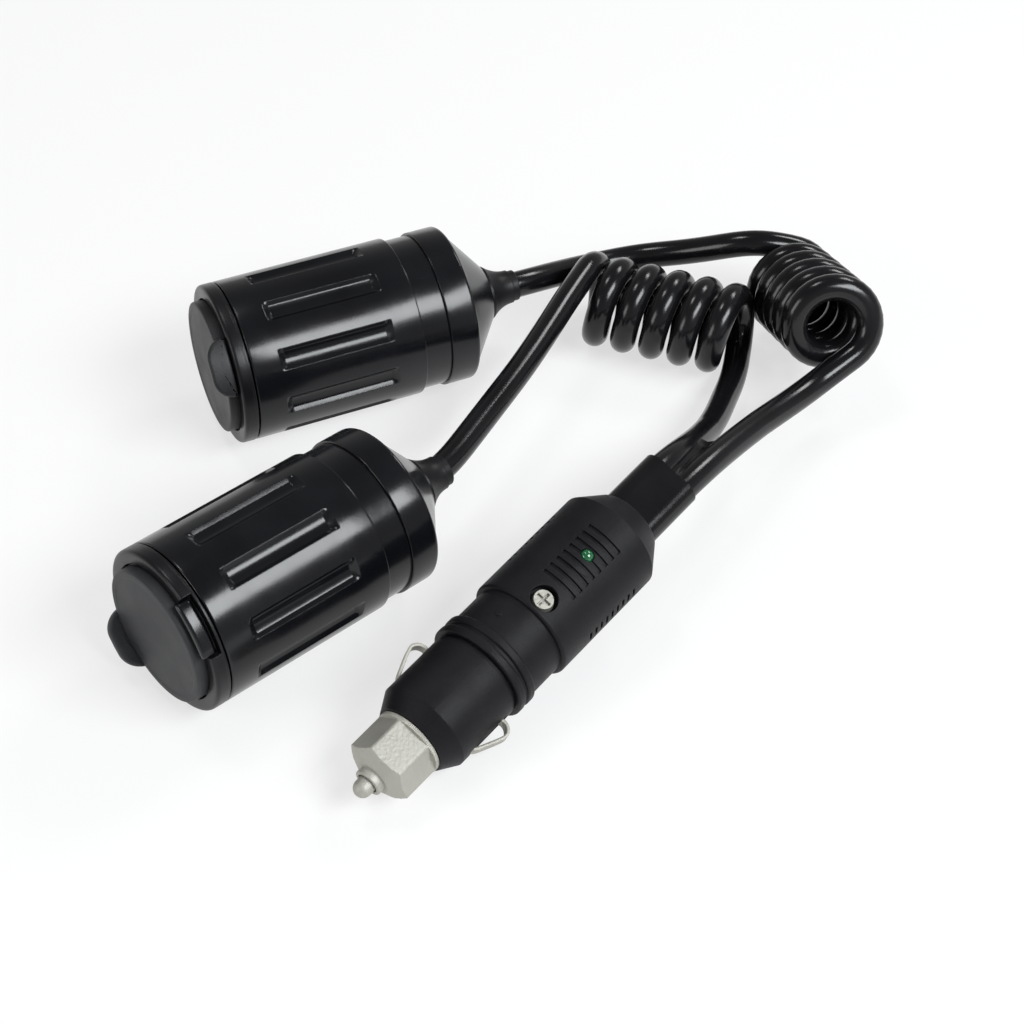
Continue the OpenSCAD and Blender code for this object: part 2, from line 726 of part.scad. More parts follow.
module socket_end_cover() {
    rotate_extrude()
        polygon(concat(
            [
                [housing_r, band_back - cover_spigot_l], [grip_bore_r, band_back - cover_spigot_l],
                [grip_bore_r, band_back], [cover_r - edge, band_back], [cover_r, band_back + edge]
            ],
            arc([cover_r - cover_corner_r, cover_back - cover_corner_r], cover_corner_r, 0, 90),
            [
                [cone_end_r, cone_back], [boot_neck_r, cone_back], [boot_neck_r, cord_floor],
                [cord_floor_r, cord_floor], [cover_bore_r, cover_back - housing_floor],
                [cover_bore_r, housing_back + shoulder_t], [shoulder_r, housing_back + shoulder_t],
                [shoulder_r, housing_back], [housing_r, housing_back]
            ]
        ));
}

module socket_boot() {
    flare = [
        for (k = [0 : round_steps]) let (t = k / round_steps)
            [boot_tip_r + (boot_r - boot_tip_r) * pow(1 - t, 2), cone_back + boot_rim_l + boot_taper_l * t]
    ];
    rotate_extrude()
        polygon(concat(
            [
                [cord_bore_r, cord_floor - boot_flange_t], [boot_flange_r, cord_floor - boot_flange_t],
                [boot_flange_r, cord_floor], [boot_neck_r, cord_floor], [boot_neck_r, cone_back],
                [boot_r, cone_back]
            ],
            flare,
            [[boot_collar_r, boot_tip], [boot_collar_r, boot_end], [cord_bore_r, boot_end]]
        ));
}

module socket_housing() {
    difference() {
        rotate_extrude()
            polygon([
                [rivet_r, boss_front], [boss_r, boss_front], [boss_r, floor_front], [tube_r, floor_front],
                [tube_r, -housing_out], [housing_r, -housing_out], [housing_r, housing_back],
                [rivet_r, housing_back]
            ]);
        bar([-strip_w / 2, strip_w / 2], [-strip_r - terminal_t, -strip_r],
            [floor_front - over, housing_back + over]);
    }
}

module socket_contact_tube() {
    rotate_extrude()
        polygon([
            [mouth_r, -tube_front], [tube_flange_r, -tube_front], [tube_flange_r, -housing_out],
            [tube_r, -housing_out], [tube_r, floor_front], [tube_lip_r, floor_front],
            [tube_lip_r, floor_front - tube_lip_t], [relief_r, floor_front - tube_lip_t],
            [relief_r, gauge_end], [tube_bore_r, gauge_end],
            [tube_bore_r, mouth_l + mouth_slope_l - tube_front], [mouth_r, mouth_l - tube_front]
        ]);
}

module socket_centre_contact() {
    rod(rivet_head_r, boss_front - rivet_head_h, boss_front);
    rod(rivet_r, boss_front - rivet_head_h / 2, terminal_back);
}

module socket_centre_terminal() {
    ring(washer_r, rivet_r, housing_back, terminal_back);
}

module socket_tube_terminal() {
    bar([-strip_w / 2, strip_w / 2], [-strip_r - terminal_t, -strip_r], [floor_front, strip_back]);
    bar([-strip_w / 2, strip_w / 2], [-strip_r - terminal_t, wire_r - wire_off],
        [strip_back - terminal_t, strip_back]);
}

module socket_live_wire() {
    translate([0, wire_off, 0])
        rod(wire_r, terminal_back, lead_start);
}

module socket_return_wire() {
    translate([0, -wire_off, 0])
        rod(wire_r, strip_back, lead_start);
}

module cap_ring() {
    difference() {
        rotate_extrude()
            polygon(concat(
                [[spigot_r, -ring_out]],
                arc([socket_r - ring_corner_r, ring_corner_r - ring_out], ring_corner_r, -90, 0),
                [[socket_r, -ring_gap], [spigot_r, -ring_gap]]
            ));
        bar([-socket_r - over, -disc_r / 2], [-notch_half_w, notch_half_w],
            [-ring_out - over, notch_depth - ring_out]);
    }
}

module cap_tab() {
    low = -ring_out - tab_gap;
    mid = tab_corner_r - tab_out;
    half = tab_w / 2;
    intersection() {
        ring(tab_r, tab_in_r, -tab_out, low);
        union() {
            bar([0, socket_r], [-half, half], [mid, low]);
            bar([0, socket_r], [tab_corner_r - half, half - tab_corner_r], [-tab_out, mid + over]);
            for (side = [-1, 1])
                translate([0, side * (half - tab_corner_r), mid])
                    rotate([0, 90, 0])
                        cylinder(r = tab_corner_r, h = socket_r);
        }
    }
}

module cap_strap() {
    out = -hinge_r + strap_in;
    intersection() {
        union() {
            translate([-hinge_r, strap_half_w, hinge_in])
                rotate([90, 0, 0])
                    cylinder(r = bead_r, h = 2 * strap_half_w);
            bar([out, -disc_r / 2], [-strap_half_w, strap_half_w],
                [-spigot_l - strap_t, -spigot_l]);
        }
        rod(socket_r, -disc_out, 0);
    }
}

module socket_cap() {
    rotate_extrude()
        polygon([
            [0, -disc_out], [disc_r - disc_edge, -disc_out], [disc_r, disc_edge - disc_out],
            [disc_r, -spigot_l], [stopper_r, -spigot_l], [stopper_end_r, stopper_l - spigot_l],
            [0, stopper_l - spigot_l]
        ]);
    cap_tab();
    cap_strap();
}

module tip_nut_shape() {
    bore = fuse_tube_r + nut_gap;
    difference() {
        union() {
            rod(nut_boss_r, nut_boss_start, nut_start + over);
            intersection() {
                rotate_extrude()
                    polygon([
                        [0, nut_start], [nut_face_r, nut_start], [nut_corner_r, nut_start + nut_cone_l],
                        [nut_corner_r, nut_back], [0, nut_back]
                    ]);
                translate([0, 0, nut_start])
                    cylinder(r = nut_flats / 2 / cos(30), h = nut_back - nut_start, $fn = 6);
            }
            rod(nut_rim_r, nut_back - nut_rim_l, nut_back);
        }
        rod(nut_hole_r, nut_boss_start - over, nut_start + nut_wall + over);
        rod(bore, nut_start + nut_wall, nut_back + over);
    }
}

module contact_pin_shape() {
    translate([0, 0, ball_r - ball_out])
        sphere(r = ball_r);
    rod(ball_r, ball_r - ball_out, pin_flange_end);
    rod(pin_flange_r, pin_flange_start, pin_flange_end);
}

module fuse_shape() {
    rod(fuse_r, pin_flange_end, pin_flange_end + fuse_cap_l);
    rod(fuse_r - fuse_step, pin_flange_end, fuse_end);
    rod(fuse_r, fuse_end - fuse_cap_l, fuse_end);
}

module fuse_spring_shape() {
    path = [
        for (i = [0 : spring_steps * spring_turns]) let (q = 360 * i / spring_steps)
            [spring_r * cos(q), spring_r * sin(q), fuse_end + spring_wire_r + spring_pitch * q / 360]
    ];
    tube(path, spring_wire_r, spring_sides);
}

module front_sleeve_shape() {
    difference() {
        rotate_extrude()
            polygon([
                [fuse_bore_r, spigot_start], [fuse_tube_r - edge, spigot_start],
                [fuse_tube_r, spigot_start + edge], [fuse_tube_r, sleeve_start],
                [sleeve_front_r, sleeve_start], [sleeve_r, sleeve_start + sleeve_bevel_l],
                [sleeve_r, sleeve_back], [step_r, sleeve_back], [step_r, ring_start],
                [sleeve_bore_r, ring_start], [sleeve_bore_r, contact_ring_start],
                [fuse_tube_r, contact_ring_start], [fuse_tube_r, fuse_tube_mid],
                [fuse_tube_thin_r, fuse_tube_mid], [fuse_tube_thin_r, fuse_tube_back],
                [fuse_bore_r, fuse_tube_back]
            ]);
        for (side = [-1, 1])
            bar([-slot_w / 2, slot_w / 2], [side * sleeve_r - slot_w, side * sleeve_r + slot_w],
                [slot_start, slot_end]);
    }
}

module rear_terminal_shape() {
    rod(fuse_bore_r, rear_terminal_start, fuse_tube_back + rear_flange_t);
    rod(fuse_tube_thin_r, fuse_tube_back, fuse_tube_back + rear_flange_t);
}

module side_contact_shape() {
    translate([-side_w / 2, 0, 0])
        rotate([0, 90, 0])
            union() {
                linear_extrude(side_w)
                    polygon(concat(
                        edge_of(side_bends, side_t / 2), reversed(edge_of(side_bends, -side_t / 2))
                    ));
                translate(side_bends[0])
                    cylinder(r = side_eye_r, h = side_w);
            }
}

module ground_strap_shape() {
    below = -ground_down - ground_t;
    bar([below, -ground_down], [strap_side, strap_side + ground_w], [contact_ring_end, ground_end]);
    bar([below, -wire_r], [-cord_off - wire_r, strap_side + ground_w], [ground_end - positive_t, ground_end]);
}

module positive_strap_shape() {
    bar([-wire_r, board_up], [strap_side, strap_side + positive_t], [positive_start, positive_end]);
    bar([wire_r, board_up], [-cord_off - wire_r, strap_side + positive_t],
        [positive_end - positive_t, positive_end]);
}

module ridge_ring_shape() {
    c = ridge_corner_r;
    r = ridge_r - c;
    first = ring_start + ridge_l;
    second = first + valley_l;
    rotate_extrude()
        polygon(concat(
            [[sleeve_bore_r, ring_start]],
            arc([r, ring_start + c], c, -90, 0),
            arc([r, first - c], c, 0, 90),
            [[valley_r, first], [valley_r, second]],
            arc([r, second + c], c, -90, 0),
            arc([r, ring_end - c], c, 0, 90),
            [[sleeve_bore_r, ring_end]]
        ));
}

module stadium(h, off, from, to) {
    for (side = [-1, 1])
        translate([0, side * off, 0])
            rod(h / 2, from, to);
    bar([-h / 2, h / 2], [-off, off], [from, to]);
}

module body_shell() {
    c = body_corner_r;
    difference() {
        rotate_extrude()
            polygon(concat(
                [
                    [neck_bore_r, fuse_tube_mid], [sleeve_bore_r, fuse_tube_mid],
                    [sleeve_bore_r, ring_end], [neck_r, ring_end], [neck_r, neck_end]
                ],
                arc([body_r - c, neck_end + c], c, -90, 0),
                [
                    [body_r, body_end], [body_end_r, plug_end], [0, plug_end], [0, cavity_end],
                    [body_bore_r, cavity_end], [body_bore_r, cavity_start], [neck_bore_r, cavity_start]
                ]
            ));
        stadium(cord_sleeve_h, cord_sleeve_off, cavity_end - over, plug_end + over);
        for (side = [-1, 1])
            for (k = [0 : side_notch_count - 1])
                rotate(side * side_notch_turn)
                    bar([body_r - side_notch_depth, body_r + over],
                        [-side_notch_h / 2, side_notch_h / 2],
                        [
                            side_notch_start + k * side_notch_pitch - side_notch_w / 2,
                            side_notch_start + k * side_notch_pitch + side_notch_w / 2
                        ]);
    }
}

module screw_post(from, to) {
    translate([from, 0, screw_s])
        rotate([0, 90, 0])
            cylinder(r = post_r, h = to - from);
}

module upper_body_shape() {
    wide = body_r * sin(groove_half_turn);
    difference() {
        union() {
            intersection() {
                body_shell();
                bar([0, body_r + over], [-body_r - over, body_r + over], [fuse_tube_mid, plug_end]);
            }
            screw_post(0, recess_up);
            rotate(pip_turn)
                translate([neck_r - over, 0, pip_s])
                    rotate([0, 90, 0])
                        cylinder(r = pip_r, h = over + pip_h);
        }
        translate([recess_up, 0, screw_s])
            rotate([0, 90, 0])
                cylinder(r = recess_r, h = body_r);
        translate([-over, 0, screw_s])
            rotate([0, 90, 0])
                cylinder(r = shank_r, h = body_r);
        translate([0, 0, lens_s])
            rotate([0, 90, 0])
                cylinder(r = lens_r, h = body_r + over);
        for (k = [0 : groove_count - 1])
            let (s = groove_start + k * groove_pitch)
                intersection() {
                    difference() {
                        rod(body_r + over, s - groove_w / 2, s + groove_w / 2);
                        rod(body_r - groove_depth, s - groove_w, s + groove_w);
                    }
                    bar([0, body_r + over], [-wide, wide], [s - groove_w, s + groove_w]);
                }
    }
}

module lower_body_shape() {
    difference() {
        union() {
            intersection() {
                body_shell();
                bar([-body_r - over, 0], [-body_r - over, body_r + over], [fuse_tube_mid, plug_end]);
            }
            screw_post(-body_bore_r - edge, 0);
        }
        translate([-shank_down, 0, screw_s])
            rotate([0, 90, 0])
                cylinder(r = shank_r, h = shank_down + over);
    }
}

module body_screw_shape() {
    difference() {
        translate([-shank_down, 0, screw_s])
            rotate([0, 90, 0]) {
                cylinder(r = shank_r, h = shank_down + recess_up + over);
                translate([0, 0, shank_down + recess_up])
                    cylinder(r1 = head_r, r2 = head_r - edge, h = head_h);
            }
        for (turn = [0, 90])
            translate([recess_up + head_h - cross_depth, 0, screw_s])
                rotate([turn, 0, 0])
                    translate([0, -head_r * 2 / 3, -cross_w / 2])
                        cube([head_h, head_r * 4 / 3, cross_w]);
    }
}

module circuit_board_shape() {
    bar([board_up, board_up + board_t], [-board_w / 2, board_w / 2], [board_start, board_start + board_l]);
}

module lamp_lens_shape() {
    dome = body_r + lens_out - lens_r;
    translate([0, 0, lens_s])
        rotate([0, 90, 0]) {
            translate([0, 0, board_up + board_t])
                cylinder(r = lens_r, h = dome - board_up - board_t);
            translate([0, 0, dome])
                sphere(r = lens_r);
        }
}

module cord_sleeve_shape() {
    front = cavity_end - cord_flange_t;
    difference() {
        union() {
            stadium(cord_sleeve_h, cord_sleeve_off, front, cord_sleeve_end);
            stadium(cord_sleeve_h + 2 * cord_flange_out, cord_sleeve_off, front, cavity_end);
        }
        for (side = [-1, 1])
            translate([0, side * cord_off, 0])
                rod(cord_bore_r, front - over, cord_sleeve_end + over);
    }
}

module plug_wire(side, up, from) {
    translate([up * 2 * wire_r, side * cord_off, 0])
        rod(wire_r, from, wire_end);
}

module lead(at, heading, points, heights, start, yaw, tilt, r, pitch, from) {
    a = aim(heading, 0);
    first = curl(start, yaw, tilt, r, pitch, from);
    way = curl_way(yaw, tilt, r, pitch, from);
    inside = [at + a * lead_start, at + a * (boot_end - boot_collar_l), at + a * boot_end];
    join = first - 2 * cord_r * way;
    tube(concat(
        [inside[0]],
        smooth(concat([inside[1], inside[2]], lifted(points, heights), [join - cord_r * way]), 3),
        [join]
    ), cord_r, cord_sides);
}

module tail(side, points, heights, start, yaw, tilt, r, pitch, to) {
    a = aim(plug_heading, plug_tilt);
    last = curl(start, yaw, tilt, r, pitch, to);
    way = curl_way(yaw, tilt, r, pitch, to);
    join = last + 2 * cord_r * way;
    inside = [
        for (s = [wire_end, cord_sleeve_end - cord_r, cord_sleeve_end, cord_sleeve_end + 1.3 * cord_r])
            in_place(plug_at, a, plug_roll, 0, side * cord_off, s)
    ];
    tube(concat(
        [join],
        smooth(concat([join + cord_r * way], lifted(points, heights), [inside[3], inside[2], inside[1]]), 3),
        [inside[0]]
    ), cord_r, cord_sides);
}

module coil(start, yaw, tilt, r, pitch, from, turns) {
    path = coil_path(start, yaw, tilt, r, pitch, from, turns);
    echo(least_gap = self_gap(path, cord_r, curl_steps / 2));
    tube(path, cord_r, coil_sides);
}

module front_grip() { color("#1b1c1e") at_front(front_grip_roll) socket_grip(); }
module front_end_cover() { color("#1b1c1e") at_front(front_grip_roll) socket_end_cover(); }
module front_boot() { color("#222222") at_front(front_grip_roll) socket_boot(); }
module front_housing() { color("#2a2a2a") at_front(front_grip_roll) socket_housing(); }
module front_contact_tube() { color("#b9b9b6") at_front(front_grip_roll) socket_contact_tube(); }
module front_centre_contact() { color("#c9a84e") at_front(front_grip_roll) socket_centre_contact(); }
module front_centre_terminal() { color("#c9a84e") at_front(front_grip_roll) socket_centre_terminal(); }
module front_tube_terminal() { color("#c9a84e") at_front(front_grip_roll) socket_tube_terminal(); }
module front_live_wire() { color("#a02020") at_front(front_grip_roll) socket_live_wire(); }
module front_return_wire() { color("#202020") at_front(front_grip_roll) socket_return_wire(); }
module front_cap_ring() { color("#2b2c2e") at_front(front_cap_roll) cap_ring(); }
module front_cap() { color("#56585b") at_front(front_cap_roll) socket_cap(); }
module rear_grip() { color("#1b1c1e") at_rear(rear_grip_roll) socket_grip(); }
module rear_end_cover() { color("#1b1c1e") at_rear(rear_grip_roll) socket_end_cover(); }
module rear_boot() { color("#222222") at_rear(rear_grip_roll) socket_boot(); }
module rear_housing() { color("#2a2a2a") at_rear(rear_grip_roll) socket_housing(); }
module rear_contact_tube() { color("#b9b9b6") at_rear(rear_grip_roll) socket_contact_tube(); }
module rear_centre_contact() { color("#c9a84e") at_rear(rear_grip_roll) socket_centre_contact(); }
module rear_centre_terminal() { color("#c9a84e") at_rear(rear_grip_roll) socket_centre_terminal(); }
module rear_tube_terminal() { color("#c9a84e") at_rear(rear_grip_roll) socket_tube_terminal(); }
module rear_live_wire() { color("#a02020") at_rear(rear_grip_roll) socket_live_wire(); }
module rear_return_wire() { color("#202020") at_rear(rear_grip_roll) socket_return_wire(); }
module rear_cap_ring() { color("#2b2c2e") at_rear(rear_cap_roll) cap_ring(); }
module rear_cap() { color("#56585b") at_rear(rear_cap_roll) socket_cap(); }
module tip_nut() { color("#c8c8c2") at_plug() tip_nut_shape(); }
module contact_pin() { color("#d0cfc8") at_plug() contact_pin_shape(); }
module fuse() { color("#b8c4c4") at_plug() fuse_shape(); }
module fuse_spring() { color("#a8a8a4") at_plug() fuse_spring_shape(); }
module front_sleeve() { color("#242426") at_plug() front_sleeve_shape(); }
module rear_terminal() { color("#c9a84e") at_plug() rear_terminal_shape(); }
module contact_ring() {
    color("#c9a84e")
        at_plug()
            ring(contact_ring_r, fuse_tube_r, contact_ring_start, contact_ring_end);
}
module left_side_contact() { color("#c8c8c2") at_plug() rotate(180) side_contact_shape(); }
module right_side_contact() { color("#c8c8c2") at_plug() side_contact_shape(); }
module ground_strap() { color("#c9a84e") at_plug() ground_strap_shape(); }
module positive_strap() { color("#c9a84e") at_plug() positive_strap_shape(); }
module ridge_ring() { color("#242426") at_plug() ridge_ring_shape(); }
module upper_body() { color("#242426") at_plug() upper_body_shape(); }
module lower_body() { color("#242426") at_plug() lower_body_shape(); }
module body_screw() { color("#c8c8c2") at_plug() body_screw_shape(); }
module circuit_board() { color("#1f5a3a") at_plug() circuit_board_shape(); }
module lamp_lens() { color("#2f9a5f") at_plug() lamp_lens_shape(); }
module cord_sleeve() { color("#1e2122") at_plug() cord_sleeve_shape(); }
module left_live_wire() { color("#a02020") at_plug() plug_wire(-1, 1, positive_end); }
module left_return_wire() { color("#202020") at_plug() plug_wire(-1, -1, ground_end); }
module right_live_wire() { color("#a02020") at_plug() plug_wire(1, 1, positive_end); }
module right_return_wire() { color("#202020") at_plug() plug_wire(1, -1, ground_end); }
module lead_a() {
    color("#1c1c1d")
        lead(front_at, front_heading, lead_a_points, lead_a_heights,
            coil_a_start, coil_a_yaw, coil_a_tilt, coil_a_r, coil_a_pitch, coil_a_from);
}
module coil_a() {
    color("#1c1c1d")
        coil(coil_a_start, coil_a_yaw, coil_a_tilt, coil_a_r, coil_a_pitch, coil_a_from, coil_a_turns);
}
module tail_a() {
    color("#1c1c1d")
        tail(-1, tail_a_points, tail_a_heights,
            coil_a_start, coil_a_yaw, coil_a_tilt, coil_a_r, coil_a_pitch, coil_a_to);
}
module lead_b() {
    color("#1c1c1d")
        lead(rear_at, rear_heading, lead_b_points, lead_b_heights,
            coil_b_start, coil_b_yaw, coil_b_tilt, coil_b_r, coil_b_pitch, coil_b_from);
}
module coil_b() {
    color("#1c1c1d")
        coil(coil_b_start, coil_b_yaw, coil_b_tilt, coil_b_r, coil_b_pitch, coil_b_from, coil_b_turns);
}
module tail_b() {
    color("#1c1c1d")
        tail(1, tail_b_points, tail_b_heights,
            coil_b_start, coil_b_yaw, coil_b_tilt, coil_b_r, coil_b_pitch, coil_b_to);
}

front_grip();
front_end_cover();
front_boot();
front_housing();
front_contact_tube();
front_centre_contact();
front_centre_terminal();
front_tube_terminal();
front_live_wire();
front_return_wire();
front_cap_ring();
front_cap();
rear_grip();
rear_end_cover();
rear_boot();
rear_housing();
rear_contact_tube();
rear_centre_contact();
rear_centre_terminal();
rear_tube_terminal();
rear_live_wire();
rear_return_wire();
rear_cap_ring();
rear_cap();
tip_nut();
contact_pin();
fuse();
fuse_spring();
front_sleeve();
rear_terminal();
contact_ring();
left_side_contact();
right_side_contact();
ground_strap();
positive_strap();
ridge_ring();
upper_body();
lower_body();
body_screw();
circuit_board();
lamp_lens();
cord_sleeve();
left_live_wire();
left_return_wire();
right_live_wire();
right_return_wire();
lead_a();
coil_a();
tail_a();
lead_b();
coil_b();
tail_b();
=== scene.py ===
import math

import bmesh
import bpy
import numpy as np
from mathutils import Matrix


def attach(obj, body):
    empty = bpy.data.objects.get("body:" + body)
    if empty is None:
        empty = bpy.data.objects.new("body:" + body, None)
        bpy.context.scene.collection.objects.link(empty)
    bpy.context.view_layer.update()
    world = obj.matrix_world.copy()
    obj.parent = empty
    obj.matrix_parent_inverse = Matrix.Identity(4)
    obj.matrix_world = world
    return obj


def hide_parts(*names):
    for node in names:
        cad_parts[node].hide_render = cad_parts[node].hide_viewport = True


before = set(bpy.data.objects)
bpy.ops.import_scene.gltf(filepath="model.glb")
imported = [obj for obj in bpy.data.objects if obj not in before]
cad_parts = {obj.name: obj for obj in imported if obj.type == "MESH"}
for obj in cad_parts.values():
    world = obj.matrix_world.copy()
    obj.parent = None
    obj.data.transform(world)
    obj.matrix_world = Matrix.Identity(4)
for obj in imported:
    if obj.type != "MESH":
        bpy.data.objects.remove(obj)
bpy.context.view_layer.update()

MM = 0.001
FRONT_AT = (-45.17, -41.59, 18.5)
FRONT_HEADING = 40.785
FRONT_ROLL = 31
FRONT_CAP_ROLL = 229
REAR_AT = (-40.95, 39.93, 18.5)
REAR_HEADING = 23.276
REAR_ROLL = 21
REAR_CAP_ROLL = 53
PLUG_HEADING, PLUG_TILT, PLUG_ROLL = 49.37, 8.0, 24
SLEEVE_R, BEVEL_END = 10.48, 17.0
PLUG_AT = (-6.12, -74.68,
           SLEEVE_R * math.cos(math.radians(PLUG_TILT)) - BEVEL_END * math.sin(math.radians(PLUG_TILT)))
CORD_R, CORD_OFF, CORD_SLEEVE_END = 3.1, 3.25, 96.6


# camera
PHOTO_PX, FOCAL_PX, SENSOR = 1024, 2310.61, 36
CAMERA_AT = (0.02231, -0.360112, 0.361321)
CAMERA_NEAR, CAMERA_FAR = 0.01, 20
# sine and cosine of the angle at which the camera looks down
LOOK_SIN, LOOK_COS = 0.69892, 0.7152


def make_camera():
    data = bpy.data.cameras.new("camera")
    data.sensor_width = SENSOR
    data.lens = FOCAL_PX / PHOTO_PX * SENSOR
    data.clip_start, data.clip_end = CAMERA_NEAR, CAMERA_FAR
    cam = bpy.data.objects.new("camera", data)
    bpy.context.scene.collection.objects.link(cam)
    up, back = (0, LOOK_SIN, LOOK_COS), (0, -LOOK_COS, LOOK_SIN)
    cam.matrix_world = Matrix(((1, up[0], back[0], CAMERA_AT[0]), (0, up[1], back[1], CAMERA_AT[1]),
                               (0, up[2], back[2], CAMERA_AT[2]), (0, 0, 0, 1)))
    bpy.context.scene.camera = cam


# placing
def aim(heading, tilt=0.0):
    h, t = math.radians(heading), math.radians(tilt)
    return np.array([math.cos(h) * math.cos(t), math.sin(h) * math.cos(t), math.sin(t)])


def unit(v):
    return v / np.linalg.norm(v)


def place(at, heading, tilt, roll):
    """Local x points to roll degrees from up towards the right, local z along the axis; mm in, metres out."""
    a = aim(heading, tilt)
    up = unit(np.array([0, 0, 1.0]) - a[2] * a)
    right = np.cross(a, up)
    r = math.radians(roll)
    x = math.cos(r) * up + math.sin(r) * right
    y = -math.sin(r) * up + math.cos(r) * right
    m = np.eye(4)
    m[:3, 0], m[:3, 1], m[:3, 2], m[:3, 3] = x * MM, y * MM, a * MM, np.array(at) * MM
    return m


# materials
def node(tree, kind, **inputs):
    n = tree.nodes.new(kind)
    for k, v in inputs.items():
        n.inputs[k.replace("_", " ")].default_value = v
    return n


def ramp(tree, low, high, a, b):
    r = tree.nodes.new("ShaderNodeMapRange")
    r.inputs["From Min"].default_value = low
    r.inputs["From Max"].default_value = high
    r.inputs["To Min"].default_value = a
    r.inputs["To Max"].default_value = b
    return r


COAT_ROUGH, SMALLEST_ROUGH = 0.12, 0.02
# noise values between which a mottle, its gloss, a worn edge and a scratch fade in
MOTTLE = (0.35, 0.65)
GLOSS = (0.3, 0.7)
WORN = (0.995, 0.9)
SCRATCH = (0.62, 0.72)
SCRATCH_SCALE, SCRATCH_STRETCH = 240.0, (1.0, 9.0, 3.0)
BROAD_BUMP_DEPTH, FINE_BUMP_DEPTH = 0.001, 0.0002


def material(name, base, rough, spread=0.06, metal=0.0, fine=900.0, fine_bump=0.03, broad=60.0,
             broad_bump=0.02, worn=None, edge=0.00035, coat=0.0, specular=0.5, tint=0.15,
             brushed=None, scratches=0.0, transmission=0.0):
    """A moulded or metal surface: colour mottle, roughness variation, fine and broad bump, softened edges."""
    mat = bpy.data.materials.new(name)
    mat.use_nodes = True
    tree = mat.node_tree
    link = tree.links.new
    shader = tree.nodes["Principled BSDF"]
    shader.inputs["Metallic"].default_value = metal
    shader.inputs["Specular IOR Level"].default_value = specular
    shader.inputs["Coat Weight"].default_value = coat
    shader.inputs["Coat Roughness"].default_value = COAT_ROUGH
    shader.inputs["Transmission Weight"].default_value = transmission
    where = node(tree, "ShaderNodeTexCoord")
    mottle = node(tree, "ShaderNodeTexNoise", Scale=broad, Detail=4.0)
    link(where.outputs["Object"], mottle.inputs["Vector"])
    grain = node(tree, "ShaderNodeTexNoise", Scale=fine, Detail=3.0)
    link(where.outputs["Object"], grain.inputs["Vector"])
    if brushed:
        squeeze = tree.nodes.new("ShaderNodeMapping")
        squeeze.inputs["Scale"].default_value = brushed
        link(where.outputs["Object"], squeeze.inputs["Vector"])
        link(squeeze.outputs["Vector"], grain.inputs["Vector"])
    colour = tree.nodes.new("ShaderNodeMix")
    colour.data_type = "RGBA"
    dark = [c * (1 - tint) for c in base]
    light = [min(1, c * (1 + tint)) for c in base]
    colour.inputs["A"].default_value = (*dark, 1)
    colour.inputs["B"].default_value = (*light, 1)
    spot = ramp(tree, *MOTTLE, 0, 1)
    link(mottle.outputs["Fac"], spot.inputs["Value"])
    link(spot.outputs["Result"], colour.inputs["Factor"])
    paint = colour.outputs["Result"]
    soft = tree.nodes.new("ShaderNodeBevel")
    soft.samples = 4
    soft.inputs["Radius"].default_value = edge
    if worn:
        geometry = tree.nodes.new("ShaderNodeNewGeometry")
        differ = tree.nodes.new("ShaderNodeVectorMath")
        differ.operation = "DOT_PRODUCT"
        link(geometry.outputs["Normal"], differ.inputs[0])
        link(soft.outputs["Normal"], differ.inputs[1])
        mask = ramp(tree, *WORN, 0, 1)
        link(differ.outputs["Value"], mask.inputs["Value"])
        patchy = tree.nodes.new("ShaderNodeMath")
        patchy.operation = "MULTIPLY"
        link(mask.outputs["Result"], patchy.inputs[0])
        link(spot.outputs["Result"], patchy.inputs[1])
        wear = tree.nodes.new("ShaderNodeMix")
        wear.data_type = "RGBA"
        wear.inputs["B"].default_value = (*worn, 1)
        link(patchy.outputs["Value"], wear.inputs["Factor"])
        link(paint, wear.inputs["A"])
        paint = wear.outputs["Result"]
    link(paint, shader.inputs["Base Color"])
    gloss = ramp(tree, *GLOSS, max(SMALLEST_ROUGH, rough - spread), rough + spread)
    link(mottle.outputs["Fac"], gloss.inputs["Value"])
    gloss_out = gloss.outputs["Result"]
    if scratches:
        lines = node(tree, "ShaderNodeTexNoise", Scale=SCRATCH_SCALE, Detail=6.0, Roughness=0.8)
        stretch = tree.nodes.new("ShaderNodeMapping")
        stretch.inputs["Scale"].default_value = SCRATCH_STRETCH
        link(where.outputs["Object"], stretch.inputs["Vector"])
        link(stretch.outputs["Vector"], lines.inputs["Vector"])
        thin = ramp(tree, *SCRATCH, 0, scratches)
        link(lines.outputs["Fac"], thin.inputs["Value"])
        total = tree.nodes.new("ShaderNodeMath")
        link(gloss_out, total.inputs[0])
        link(thin.outputs["Result"], total.inputs[1])
        gloss_out = total.outputs["Value"]
    link(gloss_out, shader.inputs["Roughness"])
    wide = node(tree, "ShaderNodeBump", Strength=broad_bump, Distance=BROAD_BUMP_DEPTH)
    link(mottle.outputs["Fac"], wide.inputs["Height"])
    link(soft.outputs["Normal"], wide.inputs["Normal"])
    tiny = node(tree, "ShaderNodeBump", Strength=fine_bump, Distance=FINE_BUMP_DEPTH)
    link(grain.outputs["Fac"], tiny.inputs["Height"])
    link(wide.outputs["Normal"], tiny.inputs["Normal"])
    link(tiny.outputs["Normal"], shader.inputs["Normal"])
    return mat


